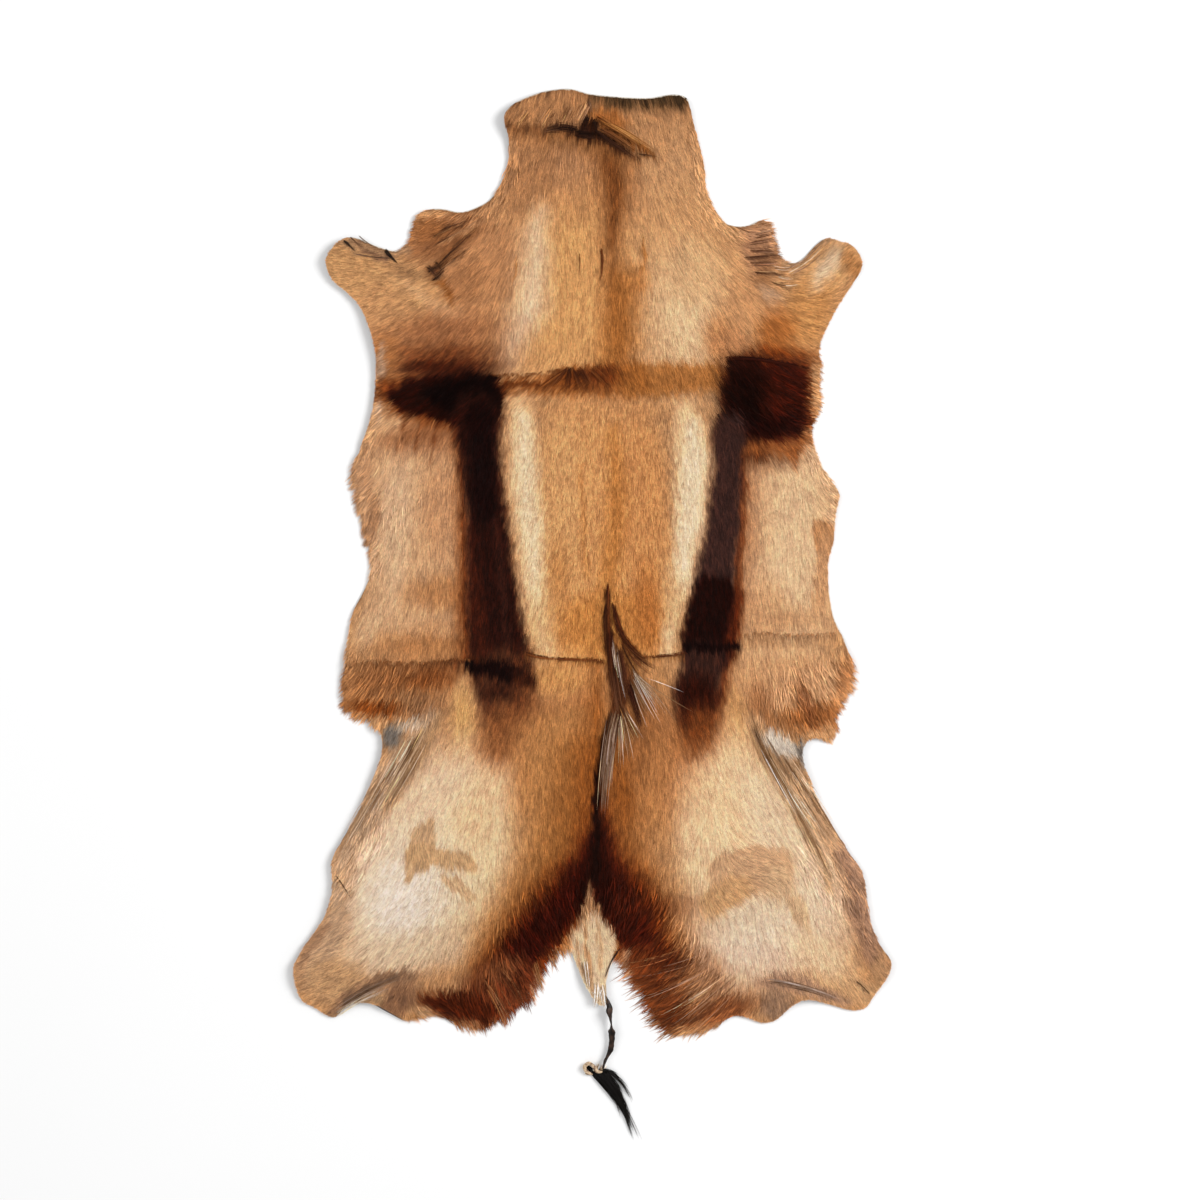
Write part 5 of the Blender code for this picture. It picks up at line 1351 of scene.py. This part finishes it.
def finished(name, tree, colour, roughness, specular=0.5, bump=None):
    """The material of that name, once its shader has this colour, this gloss
    and a bump: a height's socket, its strength and its depth in mm."""
    shader = tree.nodes["Principled BSDF"]
    tree.links.new(colour, shader.inputs["Base Color"])
    shader.inputs["Roughness"].default_value = roughness
    shader.inputs["Specular IOR Level"].default_value = specular
    if bump:
        height, strength, depth = bump
        inputs = {"Strength": strength, "Distance": depth * MM, "Height": height}
        tree.links.new(add(tree, "ShaderNodeBump", inputs).outputs["Normal"], shader.inputs["Normal"])
    return bpy.data.materials[name]


def shaded(tree, colour, pattern, low, high):
    """A colour times a pattern's ramp, whose stops are a place and a colour.
    Inputs number 6 and 7 of a mix node and its output number 2 are colours."""
    shade = add(tree, "ShaderNodeValToRGB", {"Fac": pattern}, (low, high)).outputs["Color"]
    inputs = {0: 1.0, 6: colour, 7: shade}
    return add(tree, "ShaderNodeMix", inputs, data_type="RGBA", blend_type="MULTIPLY").outputs[2]


def clouded(name, colour, scale, detail, dark, light):
    """(tree, coordinates, noise, colour) of a fresh material that noise clouds.
    Dark and light are a place on the noise and a share of the colour."""
    tree, place = blank(name)
    inputs = {"Vector": place, "Scale": scale, "Detail": detail}
    clouds = add(tree, "ShaderNodeTexNoise", inputs).outputs["Fac"]
    stops = [(at, [min(1, share * c) for c in colour]) for at, share in (dark, light)]
    return tree, place, clouds, add(tree, "ShaderNodeValToRGB", {"Fac": clouds}, stops).outputs["Color"]


def strands(name, count):
    """(tree, coordinates, the mesh's coat colour, stripes) of a fresh hair
    material. Stripes run along each ribbon: a wave across its width."""
    tree, place = blank(name)
    coat = add(tree, "ShaderNodeAttribute", attribute_name="coat").outputs["Color"]
    across = add(tree, "ShaderNodeUVMap", uv_map="strand").outputs["UV"]
    inputs = {"Vector": across, "Scale": count, "Distortion": 2.0, "Detail": 2.0, "Detail Scale": 1.5}
    return tree, place, coat, add(tree, "ShaderNodeTexWave", inputs, bands_direction="X").outputs["Fac"]


def guard_hair():
    """Guard hair as it grew: a smooth horny skin over a pale pith, which gives
    a soft shine. Each ribbon stands for a few hairs of 0.2 mm, so stripes run
    along it. Its colour comes with the mesh, mottled in patches of 3 mm."""
    name = "springbok_guard_hair"
    tree, place, coat, stripes = strands(name, 1.6)
    inputs = {"Vector": place, "Scale": 330.0, "Detail": 3.0}
    patches = add(tree, "ShaderNodeTexNoise", inputs).outputs["Fac"]
    colour = shaded(tree, coat, stripes, (0.1, (0.92, 0.89, 0.86)), (0.7, (1.18, 1.17, 1.16)))
    colour = shaded(tree, colour, patches, (0.3, (0.93, 0.92, 0.91)), (0.7, (1.12, 1.12, 1.12)))
    return finished(name, tree, colour, 0.45, 0.04, (stripes, 0.4, 0.3))


def tail_hair():
    """Black tail hair: coarser, dark to the core and so glossier, because no
    light comes back from inside it to soften the shine."""
    name = "black_tail_hair"
    tree, _, coat, stripes = strands(name, 1.0)
    colour = shaded(tree, coat, stripes, (0.1, (0.6, 0.6, 0.6)), (0.7, (1.0, 1.0, 1.0)))
    return finished(name, tree, colour, 0.34, 0.08, (stripes, 0.4, 0.2))


def underfur_wool_and_shade():
    """Underfur: short crimped wool below the guard hair. It is matt, and its
    streaks 1.5 mm wide, drawn out along the coat, darken it towards warm brown
    as painted shade between the hairs."""
    name = "springbok_underfur_shade"
    tree, place = blank(name)
    coat = add(tree, "ShaderNodeAttribute", attribute_name="coat").outputs["Color"]
    drawn = add(tree, "ShaderNodeMapping", {"Vector": place, "Scale": (1.0, 0.35, 1.0)}).outputs["Vector"]
    inputs = {"Vector": drawn, "Scale": 650.0, "Detail": 4.0}
    streaks = add(tree, "ShaderNodeTexNoise", inputs).outputs["Fac"]
    colour = shaded(tree, coat, streaks, (0.3, (0.9, 0.78, 0.66)), (0.68, (1.0, 0.98, 0.96)))
    return finished(name, tree, colour, 0.9, 0.2, (streaks, 0.7, 0.8))


def flesh_side():
    """Flesh side of tanned skin, buffed to a nap: chalky and matt, mottled
    over centimetres, with fine veins left from the scraping knife."""
    name, cream = "tanned_flesh_side", bpy.context.scene.hide_colours.flesh_side
    tree, place, _, tones = clouded(name, cream, 22.0, 5.0, (0.3, 0.72), (0.7, 1))
    cells = add(tree, "ShaderNodeTexVoronoi", {"Vector": place, "Scale": 38.0}, feature="DISTANCE_TO_EDGE")
    colour = shaded(tree, tones, cells.outputs["Distance"], (0.0, (0.82, 0.78, 0.74)), (0.03, (1, 1, 1)))
    inputs = {"Vector": place, "Scale": 2400.0, "Detail": 2.0}
    nap = add(tree, "ShaderNodeTexNoise", inputs).outputs["Fac"]
    return finished(name, tree, colour, 0.92, 0.2, (nap, 0.5, 0.3))


def grain_side():
    """Grain side where the hair is worn off: thin, dry and slate grey, with
    the pores in rows 1 mm apart as small pits."""
    name, slate = "bare_grain_side", bpy.context.scene.hide_colours.grain_side
    tree, place, _, tones = clouded(name, slate, 90.0, 5.0, (0.3, 0.6), (0.7, 1.25))
    pores = add(tree, "ShaderNodeTexVoronoi", {"Vector": place, "Scale": 1000.0}).outputs["Distance"]
    return finished(name, tree, tones, 0.6, bump=(pores, 0.4, 0.2))


def cut_edge():
    """The skin's cut edge: dried fibres, darker than either side and matt."""
    name, brown = "cut_skin_edge", bpy.context.scene.hide_colours.cut_edge
    tree, _, fibres, tones = clouded(name, brown, 700.0, 3.0, (0.35, 0.6), (0.65, 1))
    return finished(name, tree, tones, 0.85, bump=(fibres, 0.5, 0.2))


def dried_skin():
    """Raw skin dried hard on the tail: horn-like, dark brown and half glossy,
    wrinkled along its length, paler where it is thin."""
    name, brown = "dried_tail_skin", bpy.context.scene.hide_colours.dried_skin
    tree, place, _, tones = clouded(name, brown, 180.0, 4.0, (0.45, 0.3), (0.8, 3.0))
    drawn = add(tree, "ShaderNodeMapping", {"Vector": place, "Scale": (1.0, 0.25, 1.0)}).outputs["Vector"]
    inputs = {"Vector": drawn, "Scale": 900.0, "Detail": 3.0}
    wrinkles = add(tree, "ShaderNodeTexNoise", inputs).outputs["Fac"]
    return finished(name, tree, tones, 0.42, 0.2, (wrinkles, 0.6, 0.5))


def tail_tip_skin():
    """Skin of the tail's curled tip: thin and half dry, pale where its short
    hair still covers it and brown where that is worn off."""
    name = "tail_tip_skin"
    tree, place = blank(name)
    inputs = {"Vector": place, "Scale": 300.0, "Detail": 3.0}
    clouds = add(tree, "ShaderNodeTexNoise", inputs).outputs["Fac"]
    stops = ((0.35, paint("#6b4a31")), (0.6, paint("#d9bd9b")))
    tones = add(tree, "ShaderNodeValToRGB", {"Fac": clouds}, stops).outputs["Color"]
    return finished(name, tree, tones, 0.6)


def studio_paper():
    """Seamless studio paper: matt white fibre, with clouds too faint to see
    as a pattern."""
    name, white = "studio_paper", bpy.context.scene.hide_colours.floor
    tree, _, _, tones = clouded(name, white, 1.5, 2.0, (0.3, 0.985), (0.7, 1))
    return finished(name, tree, tones, 0.95, 0.1)


def finish_piece(piece, *materials, node="hide", slot="haired_skin"):
    """Gives a piece its materials and body, and hides the CAD node that it stands for. Its slot is not
    used.
    """
    for made in materials:
        piece.data.materials.append(made)
    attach(piece, "root")
    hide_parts(node)


def skin_cells(pitch):
    """(points, triangles) of the skin's outline filled with a triangular grid
    of that pitch, joined so that every circle through a triangle is empty."""
    ring = skin_edge(pitch)
    rows = np.arange(*SOWN_Y, pitch * math.sqrt(0.75))
    x, y = np.meshgrid(np.arange(*SOWN_X, pitch), rows)
    x = (x + (np.arange(len(rows)) % 2)[:, None] * pitch / 2).ravel()
    y = y.ravel()
    inside = felt(ground().rim, x, y) > pitch * 0.55
    points = np.concatenate([ring[:, :2], np.stack([x[inside], y[inside]], axis=1)])
    loop = [(k, (k + 1) % len(ring)) for k in range(len(ring))]
    flat, _, faces, _, _, _ = geometry.delaunay_2d_cdt([Vector(p) for p in points], loop, [], 1, 1e-4)
    return np.array([tuple(p) for p in flat]), np.array([tuple(f) for f in faces])


class HideSizes(bpy.types.PropertyGroup):
    """Sizes of the hide's skin and hair"""

    skin_thickness: FloatProperty(
        name="Skin thickness", default=0.0012, unit="LENGTH",
        description="Thickness of the tanned skin without its hair",
    )
    coat_pitch: FloatProperty(
        name="Coat pitch", default=0.00076, unit="LENGTH",
        description="Distance from one short hair to the next",
    )
    hair_width: FloatProperty(
        name="Hair width", default=0.0007, unit="LENGTH",
        description="Width of one drawn hair of the short coat at its root",
    )
    long_hair_width: FloatProperty(
        name="Long hair width", default=0.0008, unit="LENGTH",
        description="Width of one drawn hair of the fringes and locks",
    )
    lock_hair_width: FloatProperty(
        name="Lock hair width", default=0.00045, unit="LENGTH",
        description="Width of one drawn hair of the locks placed by hand",
    )
    underfur_depth: FloatProperty(
        name="Underfur depth", default=0.45, subtype="FACTOR",
        description="Share of the coat's depth that the underfur fills",
    )


class HideColours(bpy.types.PropertyGroup):
    """Colours of the skin and the floor"""

    flesh_side: FloatVectorProperty(
        name="Flesh side", default=paint("#dccfbb"), subtype="COLOR",
        description="Colour of the skin's underside",
    )
    grain_side: FloatVectorProperty(
        name="Grain side", default=paint("#77706c"), subtype="COLOR",
        description="Colour of the skin where hair is worn off",
    )
    cut_edge: FloatVectorProperty(
        name="Cut edge", default=paint("#8f7a66"), subtype="COLOR",
        description="Colour of the skin's cut edge",
    )
    dried_skin: FloatVectorProperty(
        name="Dried skin", default=paint("#2c1d14"), subtype="COLOR",
        description="Colour of the tail's dried strip",
    )
    floor: FloatVectorProperty(
        name="Floor", default=paint("#f4f4f4"), subtype="COLOR",
        description="Colour of the studio floor",
    )


class SPRINGBOK_OT_skin(bpy.types.Operator):
    """Lay the tanned skin, 1.2 mm thick, on the underside of the hide's solid"""

    bl_idname = "springbok.skin"
    bl_label = "Skin"

    def execute(self, context):
        flat, faces = skin_cells(pitch=7.0)
        points = np.column_stack([flat, felt(ground().under, flat[:, 0], flat[:, 1])])
        skin = put("skin", points, [faces], smooth=True)
        thicken = skin.modifiers.new("thickness", "SOLIDIFY")
        thicken.thickness = context.scene.hide_sizes.skin_thickness
        thicken.offset = 1.0
        thicken.material_offset = 1
        thicken.material_offset_rim = 2
        finish_piece(skin, flesh_side(), grain_side(), cut_edge())
        return {"FINISHED"}


class SPRINGBOK_OT_underfur(bpy.types.Operator):
    """Grow the underfur: a dense layer on the skin that thins out at its rim"""

    bl_idname = "springbok.underfur"
    bl_label = "Underfur"

    def execute(self, context):
        flat, faces = skin_cells(pitch=4.2)
        x, y = flat.T
        ease = np.clip(felt(ground().rim, x, y) / 9, 0, 1)
        share = context.scene.hide_sizes.underfur_depth * ease * (2 - ease)
        lumps = 0.25 * soft_noise(x / 5, y / 9, 21) * ease
        z = hair_height(x, y, share) + lumps - 0.15 * (1 - ease)
        shades = coat_colour(x, y) * (0.97 + 0.05 * soft_noise(x / 6, y / 12, 22))[:, None]
        wool = put("underfur", np.column_stack([x, y, z]), [faces], shades=shades, smooth=True)
        finish_piece(wool, underfur_wool_and_shade())
        return {"FINISHED"}


class SPRINGBOK_OT_short_coat(bpy.types.Operator):
    """Lay the short coat in four parts from the rump to the neck"""

    bl_idname = "springbok.short_coat"
    bl_label = "Short coat"

    def execute(self, context):
        sizes = context.scene.hide_sizes
        x, y = scattered(sizes.coat_pitch / MM, 31)
        held = felt(ground().rim, x, y) > 0.4
        sparse = np.zeros(x.shape)
        for bare_x, bare_y, wide, long in BARE:
            bare = np.exp(-(((x - bare_x) / wide) ** 2) - ((y - bare_y) / long) ** 2)
            sparse = np.maximum(sparse, bare)
        held &= hashed(np.arange(len(x)), np.arange(len(x)), 32) > sparse * 0.8
        x, y = x[held], y[held]
        order = np.argsort(y)
        hair = guard_hair()
        for name, rows in zip(("rump", "loin", "back", "neck"), np.array_split(order, 4)):
            lines, rng, clump = lay_hair(
                x[rows], y[rows], 2, 33, clump=2.4, pull=0.3, wander=0.2, rises=(0.5, 0.86), longest=15.0
            )
            shades = shade_hair(lines, rng, clump, 0.15)
            widths = sizes.hair_width / MM * (0.7 + 0.6 * rng.random((len(rows), 1))) * np.ones(2)
            rolls = 0.35 * rng.standard_normal(len(rows))
            coat = ribbons(f"coat_{name}", lines, widths, rolls, shades)
            finish_piece(coat, hair)
        return {"FINISHED"}


class SPRINGBOK_OT_long_coat(bpy.types.Operator):
    """Lay the long hair of the rims, thighs, bellies and rump in pointed locks"""

    bl_idname = "springbok.long_coat"
    bl_label = "Long coat"

    def execute(self, context):
        sizes = context.scene.hide_sizes
        x, y = scattered(2.0, 41)
        edge_x, edge_y = scattered(1.5, 42)
        rim, edge_rim = felt(ground().rim, x, y), felt(ground().rim, edge_x, edge_y)
        length, edge_length = lay_of(x, y)[1], lay_of(edge_x, edge_y)[1]
        chance = hashed(np.arange(len(x)), np.arange(len(x)), 43)
        inner = (rim > 0.5) & (chance < (length - 14.5) / 6)
        outer = (edge_rim > 0.3) & (edge_rim < 10) & (edge_length > 13.5)
        x = np.concatenate([x[inner], edge_x[outer]])
        y = np.concatenate([y[inner], edge_y[outer]])
        lines, rng, clump = lay_hair(
            x, y, 4, 44, clump=4.0, pull=0.8, wander=0.24, rises=(0.2, 0.95, 1.1, 1.0), longest=40.0
        )
        shades = shade_hair(lines, rng, clump, 0.16, at=0.4)
        widths = sizes.long_hair_width / MM * (0.7 + 0.6 * rng.random((len(x), 1)))
        widths = widths * np.array([0.8, 1, 0.8, 0.2])
        rolls = 0.4 * rng.standard_normal(len(x))
        coat = ribbons("long_coat", lines, widths, rolls, shades)
        finish_piece(coat, bpy.data.materials["springbok_guard_hair"])
        return {"FINISHED"}


class SPRINGBOK_OT_locks(bpy.types.Operator):
    """Lay the crest, the tufts, the streaks of rump and thighs, and the creases"""

    bl_idname = "springbok.locks"
    bl_label = "Crest and locks"

    def execute(self, context):
        width = context.scene.hide_sizes.lock_hair_width / MM
        hair = bpy.data.materials["springbok_guard_hair"]
        rows = (
            ("crest", CREST, 51, 0.22),
            ("neck_tuft", NECK_TUFT + FRIZZ + FOLD_TUFTS_IN_SHADE, 52, 0.35),
            ("tail_root_hair", TAIL_HAIRS, 53, 0.3),
            ("rump_streaks", RUMP_STREAKS, 54, 0.3),
            ("creases", CREASES, 55, 0.3),
            ("thigh_streaks", THIGH_STREAKS, 56, 0.5),
        )
        for name, table, seed, loose in rows:
            made = locks(name, table, seed, width, 6, on_coat, loose)
            finish_piece(made, hair)
        finish_piece(fold_shade_tufts("fold_shade_tufts", 57, width), hair)
        return {"FINISHED"}


class SPRINGBOK_OT_tail_strip(bpy.types.Operator):
    """Sweep the tail's dried, twisted strip of skin along its stations"""

    bl_idname = "springbok.tail_strip"
    bl_label = "Dried tail"

    def execute(self, context):
        run = smooth_run(TAIL_STRIP, 8)
        strip = swept("tail_strip", run[:, :3], run[:, 3], np.radians(run[:, 4]), 0.42, 61)
        finish_piece(strip, dried_skin())
        return {"FINISHED"}


class SPRINGBOK_OT_tail_tuft(bpy.types.Operator):
    """Curl the tail's tip and grow its black tuft"""

    bl_idname = "springbok.tail_tuft"
    bl_label = "Tail tuft"

    def execute(self, context):
        run = smooth_run(TAIL_CURL, 8)
        curl = swept("tail_curl", run[:, :3], run[:, 3] * 2, np.zeros(len(run)), 0.9, 62)
        finish_piece(curl, tail_tip_skin(), node="tail_tuft", slot="black_hair")
        width = context.scene.hide_sizes.lock_hair_width / MM
        pale = locks("tail_tip_hair", KNOT_HAIRS, 63, width, 5, on_floor)
        finish_piece(pale, bpy.data.materials["springbok_guard_hair"], node="tail_tuft", slot="black_hair")
        tuft = locks("tuft", TUFT, 64, width, 8, on_floor)
        finish_piece(tuft, tail_hair(), node="tail_tuft", slot="black_hair")
        return {"FINISHED"}


class SPRINGBOK_OT_stage(bpy.types.Operator):
    """Set the floor, the studio light and the camera straight above the hide"""

    bl_idname = "springbok.stage"
    bl_label = "Stage"

    def execute(self, context):
        scene = context.scene
        corners = FLOOR_HALF * np.array([[-1, -1, 0], [1, -1, 0], [1, 1, 0], [-1, 1, 0]])
        floor = put("floor", corners + np.array([0, 0, FLOOR_HEIGHT]), [np.arange(4).reshape(1, 4)])
        floor.data.materials.append(studio_paper())
        world = bpy.data.worlds.new("studio")
        world.use_nodes = True
        back = world.node_tree.nodes["Background"]
        back.inputs["Color"].default_value = (1.0, 1.0, 1.0, 1.0)
        back.inputs["Strength"].default_value = WORLD_LIGHT
        scene.world = world
        scene.view_settings.view_transform = "Standard"
        for name, place, wide, power in LAMPS:
            lamp = bpy.data.lights.new(name, "AREA")
            lamp.shape = "DISK"
            lamp.size = wide
            lamp.energy = power
            made = bpy.data.objects.new(name, lamp)
            made.location = place
            made.rotation_euler = (-Vector(place)).to_track_quat("-Z", "Y").to_euler()
            scene.collection.objects.link(made)
        lens = bpy.data.cameras.new("camera")
        lens.lens = LENS
        lens.sensor_width = SENSOR
        camera = bpy.data.objects.new("camera", lens)
        x, y = FRAME_MIDDLE
        camera.location = ((x - MIDDLE[0]) * MM, (y - MIDDLE[1]) * MM, FRAME_SIDE * LENS / SENSOR)
        scene.collection.objects.link(camera)
        scene.camera = camera
        return {"FINISHED"}


class SPRINGBOK_PT_panel(bpy.types.Panel):
    """The hide's sizes, colours and pieces in the sidebar"""

    bl_idname = "SPRINGBOK_PT_panel"
    bl_label = "Springbok hide"
    bl_space_type = "VIEW_3D"
    bl_region_type = "UI"
    bl_category = "Hide"

    def draw(self, context):
        layout = self.layout
        scene = context.scene
        for name in HideSizes.__annotations__:
            layout.prop(scene.hide_sizes, name)
        for name in HideColours.__annotations__:
            layout.prop(scene.hide_colours, name)
        for piece in PIECES:
            layout.operator(piece.bl_idname)


PIECES = (
    SPRINGBOK_OT_skin,
    SPRINGBOK_OT_underfur,
    SPRINGBOK_OT_short_coat,
    SPRINGBOK_OT_long_coat,
    SPRINGBOK_OT_locks,
    SPRINGBOK_OT_tail_strip,
    SPRINGBOK_OT_tail_tuft,
    SPRINGBOK_OT_stage,
)
CLASSES = (HideSizes, HideColours, *PIECES, SPRINGBOK_PT_panel)


def register():
    for made in CLASSES:
        bpy.utils.register_class(made)
    bpy.types.Scene.hide_sizes = PointerProperty(type=HideSizes)
    bpy.types.Scene.hide_colours = PointerProperty(type=HideColours)


def unregister():
    del bpy.types.Scene.hide_colours
    del bpy.types.Scene.hide_sizes
    for made in reversed(CLASSES):
        bpy.utils.unregister_class(made)


def main():
    register()
    bpy.ops.springbok.skin()
    bpy.ops.springbok.underfur()
    bpy.ops.springbok.short_coat()
    bpy.ops.springbok.long_coat()
    bpy.ops.springbok.locks()
    bpy.ops.springbok.tail_strip()
    bpy.ops.springbok.tail_tuft()
    bpy.ops.springbok.stage()


if __name__ == "__main__":
    main()
